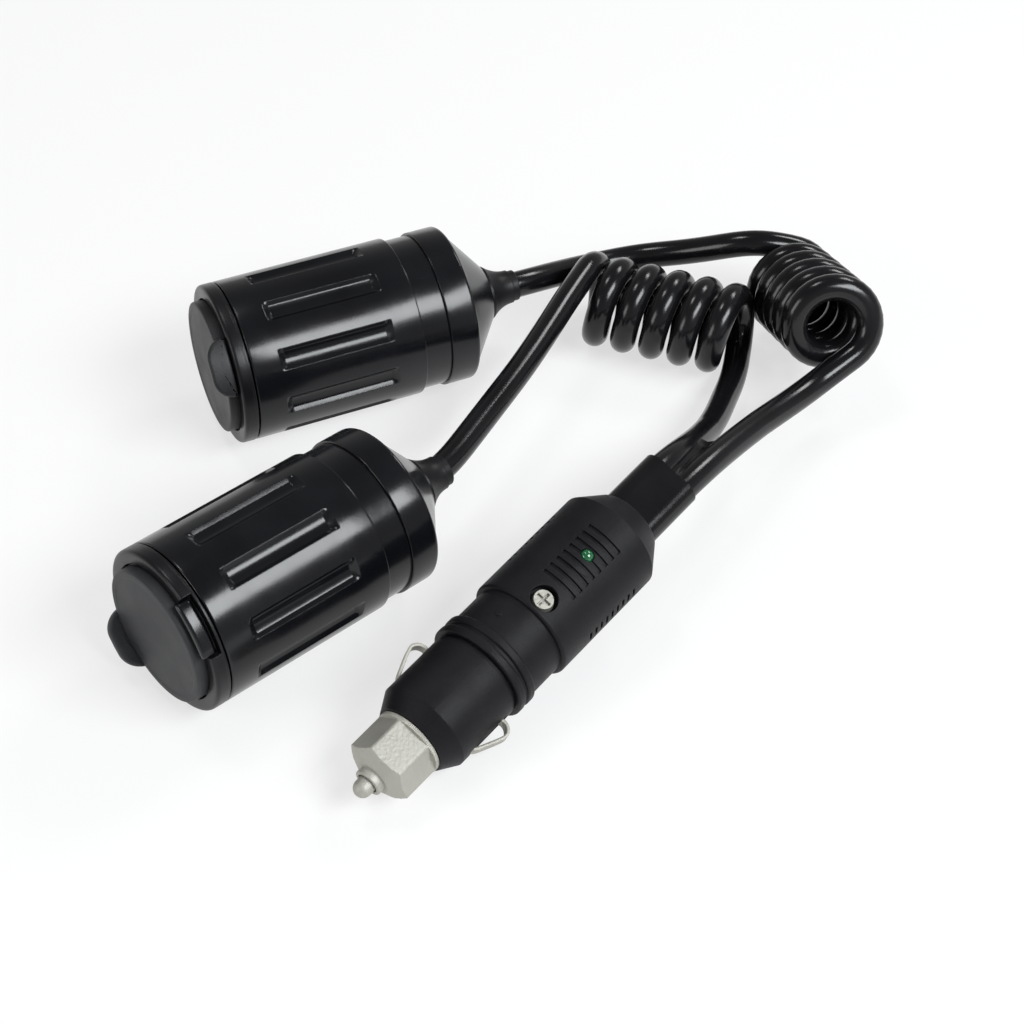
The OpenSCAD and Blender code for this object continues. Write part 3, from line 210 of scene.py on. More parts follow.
FINISHES = {
    "gloss_black": dict(base=(0.0042, 0.0046, 0.0058), rough=0.19, spread=0.04, fine=2600, fine_bump=0.03,
                        broad=90, broad_bump=0.05, worn=(0.022, 0.022, 0.025), edge=0.00025, scratches=0.12,
                        specular=0.38),
    "boot_rubber": dict(base=(0.007, 0.007, 0.0078), rough=0.40, fine=3200, fine_bump=0.12, edge=0.0003,
                        worn=(0.014, 0.014, 0.014), specular=0.22),
    "cap_ring_rubber": dict(base=(0.0065, 0.0065, 0.0076), rough=0.32, fine=2800, fine_bump=0.08,
                            edge=0.0003, worn=(0.02, 0.02, 0.022), specular=0.26),
    "cap_rubber": dict(base=(0.026, 0.027, 0.029), rough=0.52, fine=3600, fine_bump=0.22, broad=140,
                       edge=0.0004, worn=(0.045, 0.045, 0.047), specular=0.28),
    # the same rubber as cap_rubber with painted shade: a darker copy for the rear cap, which lies in more
    # shade
    "cap_rubber_painted_shade": dict(base=(0.013, 0.0132, 0.0145), rough=0.5, fine=3600, fine_bump=0.2, broad=140,
                            edge=0.0004, worn=(0.03, 0.03, 0.031), specular=0.35),
    "insulator": dict(base=(0.018, 0.018, 0.019), rough=0.5, fine_bump=0.1),
    "tube_steel": dict(base=(0.60, 0.59, 0.57), rough=0.28, metal=1.0, fine=500, fine_bump=0.06,
                       brushed=(1, 1, 12), tint=0.06),
    "nickel": dict(base=(0.43, 0.422, 0.38), rough=0.62, metal=0.72, fine=1500, fine_bump=0.6,
                   brushed=(1, 1, 0.12), tint=0.1, edge=0.0002, scratches=0.1),
    "brass": dict(base=(0.62, 0.44, 0.17), rough=0.3, metal=1.0, fine_bump=0.06, tint=0.1),
    "plug_black": dict(base=(0.0066, 0.0064, 0.0080), rough=0.46, fine=5200, fine_bump=0.34, broad=160,
                       broad_bump=0.05, worn=(0.024, 0.023, 0.026), edge=0.0003, specular=0.16),
    "cord_black": dict(base=(0.0052, 0.0052, 0.0060), rough=0.18, spread=0.04, fine=2200, fine_bump=0.04,
                       broad=70, broad_bump=0.04, edge=0.0002, specular=0.37),
    "wire_red": dict(base=(0.30, 0.02, 0.015), rough=0.4),
    "wire_black": dict(base=(0.02, 0.02, 0.02), rough=0.4),
    "board_green": dict(base=(0.01, 0.07, 0.03), rough=0.35, coat=0.4),
    "lens_green": dict(base=(0.008, 0.15, 0.05), rough=0.12, spread=0.03, fine_bump=0.02, tint=0.2,
                       coat=1.0, transmission=0.35),
    "fuse_glass": dict(base=(0.75, 0.8, 0.8), rough=0.1, fine_bump=0.01, transmission=0.8),
}


# mesh code
MERGE = 2e-7


def add_mesh(name, verts, faces, m, body, mat, replaces=(), sharp=32.0):
    co = np.asarray(verts, float).reshape(-1, 3)
    if m is not None:
        co = co @ m[:3, :3].T + m[:3, 3]
    mesh = bpy.data.meshes.new(name)
    mesh.from_pydata([tuple(c) for c in co], [], [tuple(f) for f in faces])
    bm = bmesh.new()
    bm.from_mesh(mesh)
    bmesh.ops.remove_doubles(bm, verts=bm.verts, dist=MERGE)
    bmesh.ops.recalc_face_normals(bm, faces=bm.faces)
    bm.to_mesh(mesh)
    bm.free()
    mesh.shade_smooth()
    mesh.set_sharp_from_angle(angle=math.radians(sharp))
    mesh.materials.append(mat)
    obj = bpy.data.objects.new(name, mesh)
    bpy.context.scene.collection.objects.link(obj)
    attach(obj, body)
    if replaces:
        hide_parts(*replaces)
    return obj


CORNER_STEPS, CORNER_REACH = 5, 0.48


def rounded(points):
    """A closed outline of (radius, station, rounding) with its corners rounded."""
    out, n = [], len(points)
    for i, (x, y, f) in enumerate(points):
        p = np.array([x, y], float)
        if f <= 0:
            out.append(p)
            continue
        a = np.array(points[i - 1][:2], float) - p
        b = np.array(points[(i + 1) % n][:2], float) - p
        la, lb = np.linalg.norm(a), np.linalg.norm(b)
        half = math.acos(max(-1, min(1, float(a @ b / la / lb)))) / 2
        t = min(f / math.tan(half), CORNER_REACH * la, CORNER_REACH * lb)
        a, b = p + a / la * t, p + b / lb * t
        for k in range(CORNER_STEPS + 1):
            q = k / CORNER_STEPS
            out.append((1 - q) ** 2 * a + 2 * q * (1 - q) * p + q * q * b)
    return out


def revolve(profile, turns, push=None, full=True):
    """Turns a closed outline about local z through the given angles.

    push(angle, r, s) may move a point in or out. A part turn gets its two end faces.
    """
    verts, faces = [], []
    for q in turns:
        c, s = math.cos(math.radians(q)), math.sin(math.radians(q))
        for r, z in profile:
            rr = push(q, r, z) if push else r
            verts.append((rr * c, rr * s, z))
    n, k = len(profile), len(turns)
    for i in range(k if full else k - 1):
        for j in range(n):
            a, b = i * n + j, i * n + (j + 1) % n
            c2, d = ((i + 1) % k) * n + (j + 1) % n, ((i + 1) % k) * n + j
            faces.append((a, b, c2, d))
    if not full:
        faces.append(tuple(range(n)))
        faces.append(tuple(reversed(range((k - 1) * n, k * n))))
    return verts, faces


def even(n):
    return [360.0 * i / n for i in range(n)]


def skin(rings, n, base=0):
    """Faces around and between rings of n points each, with both ends closed."""
    faces = []
    for i in range(rings - 1):
        for j in range(n):
            a, b = base + i * n + j, base + i * n + (j + 1) % n
            faces.append((a, b, b + n, a + n))
    faces.append(tuple(range(base, base + n)))
    faces.append(tuple(reversed(range(base + (rings - 1) * n, base + rings * n))))
    return faces


def insert_rows(profile, radius, rows):
    """Adds stations on the straight run of the outline at that radius."""
    out, n = [], len(profile)
    for i, p in enumerate(profile):
        out.append(p)
        q = profile[(i + 1) % n]
        if abs(p[0] - radius) < 1e-6 and abs(q[0] - radius) < 1e-6:
            low, high = sorted((p[1], q[1]))
            inner = sorted((r for r in rows if low < r < high), reverse=bool(q[1] < p[1]))
            out.extend(np.array([radius, r]) for r in inner)
    return out


# sockets
# sizes in mm: radii, and stations along the axis from the grip's mouth; the main ones repeat the part's own
SOCKET_R = 18.5
BAND_R = 17.65
COVER_R = 18.2
GROOVE_R = 17.5
SPIGOT_R = 16.6
SPIGOT_NOSE_R = 15.2
MOUTH_R = 13.3
GRIP_BORE_R = 15.9
COVER_BORE_R = 12.3
GRIP_L = 40.25
BAND_END = 46.4
GROOVE_END = 46.52
COVER_END = 53.25
CONE_END = 61.5
SPIGOT_FRONT = -3.1
SPIGOT_TAPER_END = -1.1
WALL_BACK = 3.0
SHOULDER = 48.4
BOOT_SEAT = 57.5
COVER_START = 43.0
COVER_STEP = 47.2
CONE_START = 53.75
HOLLOW_END = 50.9
CONE_R = 16.75
CONE_TIP_R = 6.8
HOLLOW_R = 15.6
HOLLOW_TIP_R = 7.6
BOOT_BORE_R = 3.14
BOOT_FLANGE_R = 7.0
BOOT_HOLE_R = 5.0
BOOT_RIM_R = 6.3
BOOT_NECK_R = 3.9
BOOT_TIP_R = 3.6
BOOT_START = 56.1
BOOT_RIM_END = 62.15
BOOT_NECK = 62.2
BOOT_TAPER_L = 5.8
BOOT_TIP_START = 68.05
BOOT_END = 69.6
FLARE_POWER = 2.1
FLARE_STEPS = 10
COVER_SIDES = 160
BOOT_SIDES = 96
RING_SIDES = 160
DISC_SIDES = 128

# pockets: the half width, step and lips are degrees about the socket's axis, the rest is in mm
POCKETS = 10
POCKET_HALF = 7.8
POCKET_FROM = 6.4
POCKET_TO = 33.4
POCKET_DEEP = 1.3
POCKET_STEP = 360.0 / POCKETS
POCKET_WALL_SHARE = 0.7
POCKET_EDGE_SHARE = 0.64
POCKET_END_L = 1.5
POCKET_SKIN_R = 18.3
POCKET_SHARES = (-1.0, -0.96, -0.85, -0.74, -0.7, -0.64, -0.48, -0.25, 0.0,
                 0.25, 0.48, 0.64, 0.7, 0.74, 0.85, 0.96, 1.0)
POCKET_LIPS = (-16.0, -13.5, -11.0, -9.3, -8.2, 8.2, 9.3, 11.0, 13.5, 16.0)
POCKET_ROWS = (6.25, 6.4, 6.7, 7.1, 7.5, 7.9, 8.2, 12, 18, 24, 28,
               31.6, 31.9, 32.3, 32.7, 33.1, 33.4, 33.55)


def pocket_turns():
    offsets = sorted([POCKET_HALF * u for u in POCKET_SHARES] + list(POCKET_LIPS) + [POCKET_STEP / 2])
    return [k * POCKET_STEP + o for k in range(POCKETS) for o in offsets]


def pocket_push(q, r, s):
    if r < POCKET_SKIN_R or not POCKET_FROM <= s <= POCKET_TO:
        return r
    d = (q + POCKET_STEP / 2) % POCKET_STEP - POCKET_STEP / 2
    u = abs(d) / POCKET_HALF
    if u >= 1 - 1e-9:
        return r
    wall, rim = POCKET_WALL_SHARE, POCKET_EDGE_SHARE
    deep = rim * (1 - u) / (1 - wall) if u > wall else rim + (1 - rim) * (1 - (u / wall) ** 2)
    end = min(1.0, (s - POCKET_FROM) / POCKET_END_L, (POCKET_TO - s) / POCKET_END_L)
    return r - POCKET_DEEP * deep * max(0.0, end)


def build_socket(side, at, heading, roll, cap_roll, mats):
    body = "splitter"
    m = place(at, heading, 0, roll)
    grip = rounded([
        (MOUTH_R, SPIGOT_FRONT, 0.2), (SPIGOT_NOSE_R, SPIGOT_FRONT, 0.2),
        (SPIGOT_R, SPIGOT_TAPER_END, 0.0),
        (SPIGOT_R, 0.0, 0.0), (SOCKET_R, 0.0, 0.45), (SOCKET_R, GRIP_L, 0.5), (BAND_R, GRIP_L, 0.12),
        (BAND_R, BAND_END, 0.15), (GRIP_BORE_R, BAND_END, 0.0), (GRIP_BORE_R, WALL_BACK, 0.0),
        (MOUTH_R, WALL_BACK, 0.0)])
    v, f = revolve(insert_rows(grip, SOCKET_R, POCKET_ROWS), pocket_turns(), pocket_push)
    add_mesh(side + "-grip-shell", v, f, m, body, mats["gloss_black"],
             [side + "_grip"], sharp=24)

    cover = rounded([
        (MOUTH_R, COVER_START, 0.0), (GRIP_BORE_R, COVER_START, 0.2), (GRIP_BORE_R, BAND_END, 0.0),
        (GROOVE_R, BAND_END, 0.0), (GROOVE_R, GROOVE_END, 0.0), (COVER_R, GROOVE_END, 0.25),
        (COVER_R, COVER_END, 1.3), (CONE_R, CONE_START, 0.5), (CONE_TIP_R, CONE_END, 0.4),
        (BOOT_HOLE_R, CONE_END, 0.1), (BOOT_HOLE_R, BOOT_SEAT, 0.0), (HOLLOW_TIP_R, BOOT_SEAT, 0.3),
        (HOLLOW_R, HOLLOW_END, 0.4), (HOLLOW_R, SHOULDER, 0.2), (COVER_BORE_R, SHOULDER, 0.0),
        (COVER_BORE_R, COVER_STEP, 0.0), (MOUTH_R, COVER_STEP, 0.0)])
    v, f = revolve(cover, even(COVER_SIDES))
    add_mesh(side + "-end-cover-shell", v, f, m, body, mats["gloss_black"],
             [side + "_end_cover"], sharp=24)

    flare = []
    for k in range(FLARE_STEPS + 1):
        t = k / FLARE_STEPS
        flare.append((BOOT_NECK_R + (BOOT_RIM_R - BOOT_NECK_R) * (1 - t) ** FLARE_POWER,
                      BOOT_NECK + BOOT_TAPER_L * t, 0.0))
    boot = rounded([
        (BOOT_BORE_R, BOOT_START, 0.0), (BOOT_FLANGE_R, BOOT_START, 0.3), (BOOT_FLANGE_R, BOOT_SEAT, 0.0),
        (BOOT_HOLE_R, BOOT_SEAT, 0.0), (BOOT_HOLE_R, CONE_END, 0.0), (BOOT_RIM_R, CONE_END, 0.25),
        (BOOT_RIM_R, BOOT_RIM_END, 0.0)] + flare + [
        (BOOT_TIP_R, BOOT_TIP_START, 0.1), (BOOT_TIP_R, BOOT_END, 0.35), (BOOT_BORE_R, BOOT_END, 0.1)])
    v, f = revolve(boot, even(BOOT_SIDES))
    add_mesh(side + "-boot-shell", v, f, m, body, mats["boot_rubber"],
             [side + "_boot"], sharp=28)

    build_cap(side, place(at, heading, 0, cap_roll), mats)


# shares from a plate's middle at which its two faces get a loop of points
PLATE_SHARES, RIM_STEPS = (0.25, 0.5, 0.75, 0.92), 4


def pillow(outline, outer, inner, edge):
    """A plate bent about local z between two radii, its outline in (across, along), its rim rounded."""
    line = [np.array(p, float) for p in outline]
    n = len(line)
    middle = sum(line) / n
    inward = []
    for i in range(n):
        d = unit(line[(i + 1) % n] - line[i - 1])
        side = np.array([-d[1], d[0]])
        inward.append(side if side @ (middle - line[i]) > 0 else -side)
    loops = []
    for share in PLATE_SHARES:
        loops.append([middle + (p + edge * w - middle) * share for p, w in zip(line, inward)] + [outer])
    for k in range(RIM_STEPS + 1):
        q = math.pi / 2 * k / RIM_STEPS
        loops.append([p + edge * (1 - math.sin(q)) * w for p, w in zip(line, inward)]
                     + [outer - edge * (1 - math.cos(q))])
    for k in range(RIM_STEPS + 1):
        q = math.pi / 2 * k / RIM_STEPS
        loops.append([p + edge * (1 - math.cos(q)) * w for p, w in zip(line, inward)]
                     + [inner + edge * (1 - math.sin(q))])
    for share in reversed(PLATE_SHARES):
        loops.append([middle + (p + edge * w - middle) * share for p, w in zip(line, inward)] + [inner])
    verts = [(math.sqrt(outer ** 2 - middle[0] ** 2), *middle)]
    for loop in loops:
        verts.extend((math.sqrt(loop[-1] ** 2 - p[0] ** 2), p[0], p[1]) for p in loop[:-1])
    verts.append((math.sqrt(inner ** 2 - middle[0] ** 2), *middle))
    last = len(verts) - 1
    faces = [(0, 1 + i, 1 + (i + 1) % n) for i in range(n)]
    for j in range(len(loops) - 1):
        for i in range(n):
            a, b = 1 + j * n + i, 1 + j * n + (i + 1) % n
            faces.append((a, b, b + n, a + n))
    faces.extend((last, last - n + (i + 1) % n, last - n + i) for i in range(n))
    return verts, faces


# the cap and its ring, in mm; a station in front of the grip's mouth is negative
RING_SEAT = -0.35
RING_BASE = -1.0
RING_BACK = -0.95
RING_FRONT = -3.6
RING_INSIDE_R = 16.65
RING_LIP_R = 15.5
RING_LIP_ROOT = -3.0
RING_LIP_BACK = -3.2
DISC_R = 15.2
DISC_DISH_R = 13.3
DISC_RIM_R = 13.7
DISC_BACK = -3.1
DISC_FRONT = -5.9
DISC_FACE = -5.8
STOPPER_R = 10.2
STOPPER_TIP_R = 9.2
STOPPER_END = 3.0
NOTCH_HALF_TURN, RING_TURNS = 21.3, 150
TAB_TOP = -3.95
TAB_OUT = -8.8
TAB_HALF = 6.75
TAB_CORNER = 4.6
TAB_ARC_STEPS = 14
TAB_OUTER_R = 17.1
TAB_INNER_R = 14.95
TAB_EDGE = 0.55
TAB_INSET = 0.1
TAB_TOP_SHARES = (-0.7, -0.35, 0, 0.35, 0.7)
STRAP_WIDTHS = (-6.0, -5.88, -5.6, -4.5, -3.0, -1.5, 0.0, 1.5, 3.0, 4.5, 5.6, 5.88, 6.0)
STRAP_TUCKS = {6.0: 0.2, 5.88: 0.08}
STRAP_CENTRE, STRAP_BOW_R, STRAP_BOW_FROM = (-16.2, -3.6), 18.2, 15.0
# the strap with its bead, and the web that joins it to the disc: out from the axis, along, corner radius
STRAP_SECTION = ((-18.2, -2.2, 0.35), (-18.2, -4.9, 1.2), (-16.35, -4.9, 0.4), (-16.05, -3.9, 0.15),
                 (-13.5, -3.9, 0.0), (-13.5, -3.15, 0.0), (-16.75, -3.15, 0.2), (-16.75, -2.6, 0.2),
                 (-17.0, -2.0, 0.3))


def build_cap(side, m, mats):
    base = rounded([(SPIGOT_R, RING_BASE, 0.0), (SOCKET_R, RING_BASE, 0.12), (SOCKET_R, RING_SEAT, 0.2),
                    (SPIGOT_R, RING_SEAT, 0.0)])
    v, f = revolve(base, even(RING_SIDES))
    whole = rounded([(RING_LIP_R, RING_FRONT, 0.25), (SOCKET_R, RING_FRONT, 0.95),
                     (SOCKET_R, RING_BACK, 0.0), (RING_INSIDE_R, RING_BACK, 0.0),
                     (RING_INSIDE_R, RING_LIP_ROOT, 0.2), (RING_LIP_R, RING_LIP_BACK, 0.1)])
    span = 360 - 2 * NOTCH_HALF_TURN
    turns = [-180 + NOTCH_HALF_TURN + span * i / RING_TURNS for i in range(RING_TURNS + 1)]
    v2, f2 = revolve(whole, turns, full=False)
    f2 = [tuple(i + len(v) for i in face) for face in f2]
    add_mesh(side + "-cap-ring-shell", list(v) + list(v2), list(f) + f2, m, "splitter",
             mats["cap_ring_rubber"], [side + "_cap_ring"], sharp=40)

    disc = rounded([
        (0.0, DISC_FACE, 0.0), (DISC_DISH_R, DISC_FACE, 0.4), (DISC_RIM_R, DISC_FRONT, 0.2),
        (DISC_R, DISC_FRONT, 0.6), (DISC_R, DISC_BACK, 0.3), (STOPPER_R, DISC_BACK, 0.1),
        (STOPPER_TIP_R, STOPPER_END, 0.8), (0.0, STOPPER_END, 0.0)])
    v, f = revolve(disc, even(DISC_SIDES))
    # the front cap takes the cap rubber; the rear cap takes its darker copy, which is painted shade
    cap_rubber_or_shaded_copy = mats["cap_rubber"] if side == "front" else mats["cap_rubber_painted_shade"]
    add_mesh(side + "-cap-disc", v, f, m, side + "_cap", cap_rubber_or_shaded_copy, [side + "_cap"], sharp=40)

    arc = []
    for k in range(TAB_ARC_STEPS + 1):
        q = math.pi / 2 * k / TAB_ARC_STEPS
        arc.append((TAB_HALF - TAB_CORNER + TAB_CORNER * math.sin(q),
                    TAB_OUT + TAB_CORNER - TAB_CORNER * math.cos(q)))
    line = [(-TAB_HALF + TAB_INSET, TAB_TOP)] + [(TAB_HALF * u, TAB_TOP) for u in TAB_TOP_SHARES]
    line += [(TAB_HALF - TAB_INSET, TAB_TOP)] + arc[::-1] + [(0, TAB_OUT)] + [(-x, s) for x, s in arc]
    v, f = pillow(line, TAB_OUTER_R, TAB_INNER_R, TAB_EDGE)
    add_mesh(side + "-cap-tab", v, f, m, side + "_cap", cap_rubber_or_shaded_copy, sharp=50)

    section = rounded(list(STRAP_SECTION))
    centre, verts = np.array(STRAP_CENTRE), []
    for w in STRAP_WIDTHS:
        bow = STRAP_BOW_R - math.sqrt(STRAP_BOW_R ** 2 - w * w)
        for p in section:
            q = p + (centre - p) * STRAP_TUCKS.get(abs(w), 0.0)
            out = min(1.0, max(0.0, (-q[0] - STRAP_BOW_FROM) / (STRAP_BOW_R - STRAP_BOW_FROM)))
            verts.append((q[0] + bow * out, w, q[1]))
    faces = skin(len(STRAP_WIDTHS), len(section))
    add_mesh(side + "-cap-strap", verts, faces, m, side + "_cap", mats["gloss_black"], sharp=45)


# plug
# the nut, in mm along the plug's axis; its flats follow each other every NUT_FLAT_TURN degrees
NUT_R = 7.6
NUT_FLAT_R = 6.7
NUT_RIM_R = 7.75
NUT_BORE_R = 5.65
NUT_HOLE_R = 2.3
NUT_BOSS_R = 3.1
NUT_FACE_R = 3.9
NUT_BOSS_START = 0.2
NUT_FACE = 1.8
NUT_CONE_END = 3.75
NUT_FLOOR = 3.8
NUT_RIM_START = 11.9
NUT_RIM_FULL = 12.0
NUT_BACK = 12.9
NUT_SIDES = 240
NUT_FLAT_TURN = 60.0
NUT_INSIDE_R = 5.8
NUT_CONE_STEPS = 12
# the rim's fine knurl: the radius it stands on, its ridge and its groove
KNURL_R = 7.62
KNURL_RIDGE = 0.10
KNURL_GROOVE = -0.04
KNURL_FROM = 11.95
KNURL_FADE = 12.8
KNURL_FADED_SHARE = 0.6
NUT_ROWS = (4.0, 4.3, 5, 7, 9, 11)


def nut_push(q, r, s):
    if r < NUT_INSIDE_R:
        return r
    d = (q + NUT_FLAT_TURN / 2) % NUT_FLAT_TURN - NUT_FLAT_TURN / 2
    flat = NUT_FLAT_R / math.cos(math.radians(d))
    if s > KNURL_FROM:
        odd = int(round(q / (360.0 / NUT_SIDES))) % 2
        share = 1 if s < KNURL_FADE else KNURL_FADED_SHARE
        return min(r, KNURL_R) + (KNURL_RIDGE if odd else KNURL_GROOVE) * share
    return min(r, flat, NUT_R)


def build_nut(m, mats):
    outline = rounded([
        (NUT_HOLE_R, NUT_BOSS_START, 0.15), (NUT_BOSS_R, NUT_BOSS_START, 0.35),
        (NUT_BOSS_R, NUT_FACE, 0.15), (NUT_FACE_R, NUT_FACE, 0.25), (NUT_R, NUT_CONE_END, 0.0),
        (NUT_R, NUT_RIM_START, 0.0), (NUT_RIM_R, NUT_RIM_FULL, 0.0), (NUT_RIM_R, NUT_BACK, 0.1),
        (NUT_BORE_R, NUT_BACK, 0.1), (NUT_BORE_R, NUT_FLOOR, 0.0), (NUT_HOLE_R, NUT_FLOOR, 0.0)])
    outline = insert_rows(outline, NUT_R, NUT_ROWS)
    cone = []
    for p, q in zip(outline, outline[1:] + outline[:1]):
        cone.append(p)
        # the cone takes more rows, so that its flats run up it cleanly
        if NUT_FACE_R - 0.1 < p[0] < NUT_R - 0.1 and q[0] == NUT_R and q[1] < NUT_ROWS[0]:
            cone.extend(p + (q - p) * t for t in np.linspace(0, 1, NUT_CONE_STEPS)[1:-1])
    v, f = revolve(cone, even(NUT_SIDES), nut_push)
    add_mesh("tip-nut-shell", v, f, m, "nut", mats["nickel"], ["tip_nut"], sharp=22)


def spline(points, per):
    p = np.array(points, float)
    ends = np.vstack([2 * p[0] - p[1], p, 2 * p[-1] - p[-2]])
    out = []
    for i in range(1, len(ends) - 2):
        a, b, c, d = ends[i - 1:i + 3]
        for k in range(per):
            t = k / per
            out.append(0.5 * (2 * b + (c - a) * t + (2 * a - 5 * b + 4 * c - d) * t * t
                              + (3 * b - a - 3 * c + d) * t ** 3))
    out.append(p[-1])
    return np.array(out)


# the strip: half its width and thickness, its softened edge, and its eye
STRIP_HALF = 1.4
STRIP_THICK = 0.34
STRIP_SOFT = 0.12
STRIP_EDGE_SHARE = 0.4
STRIP_STEPS = 6
EYE_R = 0.48
EYE_SIDES = 24
HINGE = (17.0, 8.0)
# how far the strip bows, along and out, as shares of the sleeve's radius
STRIP_SHARES = ((0, 0), (0.12, 0.012), (0.25, 0.05), (0.33, 0.225), (0.60, 0.355), (0.88, 0.465),
                (1.0, 0.478), (1.10, 0.41), (1.15, 0.285), (1.12, 0.14))


def build_side_contact(name, cad, body, m, mats):
    hinge = np.array(HINGE)
    line = spline([hinge + SLEEVE_R * np.array(u) for u in STRIP_SHARES], STRIP_STEPS)
    wide, thick, edge = STRIP_HALF, STRIP_THICK, STRIP_THICK * STRIP_EDGE_SHARE
    section = [(wide, edge), (wide - STRIP_SOFT, thick), (-wide + STRIP_SOFT, thick), (-wide, edge),
               (-wide, -edge), (-wide + STRIP_SOFT, -thick), (wide - STRIP_SOFT, -thick), (wide, -edge)]
    verts = []
    for i, p in enumerate(line):
        d = unit(line[min(i + 1, len(line) - 1)] - line[max(i - 1, 0)])
        normal = np.array([-d[1], d[0]])
        for w, t in section:
            q = p + normal * t
            verts.append((w, q[1], q[0]))
    faces = skin(len(line), len(section))
    base = len(verts)
    for w in (-wide, wide):
        for k in range(EYE_SIDES):
            q = 2 * math.pi * k / EYE_SIDES
            verts.append((w, hinge[1] + EYE_R * math.cos(q), hinge[0] + EYE_R * math.sin(q)))
    faces += skin(2, EYE_SIDES, base)
    add_mesh(name, verts, faces, m, body, mats["nickel"], [cad], sharp=50)


# cords
# the routes of the cords, in mm, as the part's source has them
COIL_A = dict(start=(39.82, 70.32, 12.62), yaw=-17.6, tilt=-2, r=8.06, pitch=6.93, begin=0, turns=5.5)
COIL_B = dict(start=(88.85, 78.6, 10.25), yaw=-77.2, tilt=21.5, r=8.58, pitch=6.57, begin=20, turns=5.37)
LEAD_A = [(9.5, 8, 18.5), (13.1, 14.8, 18.7), (18.5, 25, 19.1), (24.1, 35.6, 19.5), (28.7, 45.3, 19.9),
          (33.4, 55.9, 20.4)]
LEAD_B = [(28.2, 71.2, 17.2), (33.8, 77, 14.5), (43.7, 85, 10.9), (53.6, 87.9, 11.1), (65.1, 85.8, 14),
          (72.5, 83.4, 17.4), (77.7, 81.6, 19.9)]
TAIL_A = [(72.3, 45.2, 4.2), (69.9, 35.9, 6.7), (66.4, 25.3, 10.5), (62, 14.6, 15.2), (58.7, 7, 21.4)]
TAIL_B = [(88.8, 35.3, 12.8), (82.9, 28.8, 13.8), (78, 22.8, 15.2), (73.3, 16.9, 16.7), (68.2, 9.5, 18.4),
          (63.5, 2.9, 19.8)]
CORDS = ((FRONT_AT, FRONT_HEADING, LEAD_A, COIL_A, TAIL_A, -1),
         (REAR_AT, REAR_HEADING, LEAD_B, COIL_B, TAIL_B, 1))
# stations inside the socket's boot and the plug's body, between which a cord runs straight
BOOT_STATIONS, PLUG_END_STATIONS = (58.0, 63.0, 68.0, 69.6), (84.0, 75.2)
CURVE_STEPS, COIL_STEPS, CORD_SIDES = 6, 32, 24
# straight runs, in cord radii: beside the curls, and in front of the plug's cord sleeve
NEAR_RUN, FAR_RUN, SLEEVE_RUN = 2, 3, 1.3
# how a line is evened out: its step in mm, how often it is relaxed, the points kept at its ends,
# and how many points from the plug's end the softened stretch starts and stops
EVEN_STEP = 1.2
EVEN_ROUNDS = 32
KEPT = 3
SOFT_FROM = 44
SOFT_TO = 15
TAIL_SOFTENING = 90


def curl(coil, degrees):
    a = aim(coil["yaw"], coil["tilt"])
    v = unit(np.array([0, 0, 1.0]) - a[2] * a)
    w = np.cross(v, a)
    q = math.radians(degrees)
    out = math.cos(q) * v + math.sin(q) * w
    point = np.array(coil["start"]) + a * coil["pitch"] * degrees / 360 + coil["r"] * out
    way = unit(a * coil["pitch"] / (2 * math.pi) + coil["r"] * (math.cos(q) * w - math.sin(q) * v))
    return point, way


def lengths_along(line):
    return np.concatenate([[0], np.cumsum(np.linalg.norm(np.diff(line, axis=0), axis=1))])


def relax(line, first, last):
    """Draws the points from first up to last towards the middle of their neighbours."""
    before, after = line[first - 1:last - 1], line[first + 1:last + 1 or None]
    line[first:last] += 0.5 * ((before + after) / 2 - line[first:last])


def even_out(line, soft_end=0):
    """The line in even steps, with its small kinks relaxed and its last few points at each end kept."""
    along = lengths_along(line)
    count = int(along[-1] / EVEN_STEP) + 1
    where = np.linspace(0, along[-1], count)
    line = np.column_stack([np.interp(where, along, line[:, k]) for k in range(3)])
    for _ in range(EVEN_ROUNDS):
        relax(line, KEPT, -KEPT)
    for _ in range(soft_end):
        relax(line, -SOFT_FROM, -SOFT_TO)
    return line


def cord_route(at, heading, lead, coil, tail, side):
    axis, start = aim(heading), np.array(at, float)
    begin, turn = coil["begin"], 360 * coil["turns"]
    first, way0 = curl(coil, begin)
    last, way1 = curl(coil, begin + turn)
    plug = place(PLUG_AT, PLUG_HEADING, PLUG_TILT, PLUG_ROLL)
    stations = (CORD_SLEEVE_END + SLEEVE_RUN * CORD_R, CORD_SLEEVE_END, CORD_SLEEVE_END - CORD_R,
                *PLUG_END_STATIONS)
    plug_end = [(plug[:3, :3] @ np.array([0, side * CORD_OFF, s]) + plug[:3, 3]) / MM for s in stations]
    lead_line = spline([start + axis * s for s in BOOT_STATIONS] + [np.array(p) for p in lead]
                       + [first - FAR_RUN * CORD_R * way0, first - NEAR_RUN * CORD_R * way0, first],
                       CURVE_STEPS)
    steps = int(coil["turns"] * COIL_STEPS)
    coil_line = np.array([curl(coil, begin + turn * i / steps)[0] for i in range(1, steps)])
    tail_line = spline([last, last + NEAR_RUN * CORD_R * way1, last + FAR_RUN * CORD_R * way1]
                       + [np.array(p) for p in tail] + plug_end, CURVE_STEPS)
    return np.vstack([even_out(lead_line), coil_line, even_out(tail_line, TAIL_SOFTENING)])


def build_cord(name, at, heading, lead, coil, tail, side, cad, mats):
    path = cord_route(at, heading, lead, coil, tail, side)
    ways = np.gradient(path, axis=0)
    ways /= np.linalg.norm(ways, axis=1)[:, None]
    normal = np.array([0, 0, 1.0])
    normal = unit(normal - (normal @ ways[0]) * ways[0])
    verts = []
    for p, t in zip(path, ways):
        normal = unit(normal - (normal @ t) * t)
        other = np.cross(t, normal)
        for k in range(CORD_SIDES):
            q = 2 * math.pi * k / CORD_SIDES
            verts.append(p + CORD_R * (math.cos(q) * normal + math.sin(q) * other))
    obj = add_mesh(name, np.array(verts) * MM, skin(len(path), CORD_SIDES), None, "splitter",
                   mats["cord_black"], cad, sharp=60)


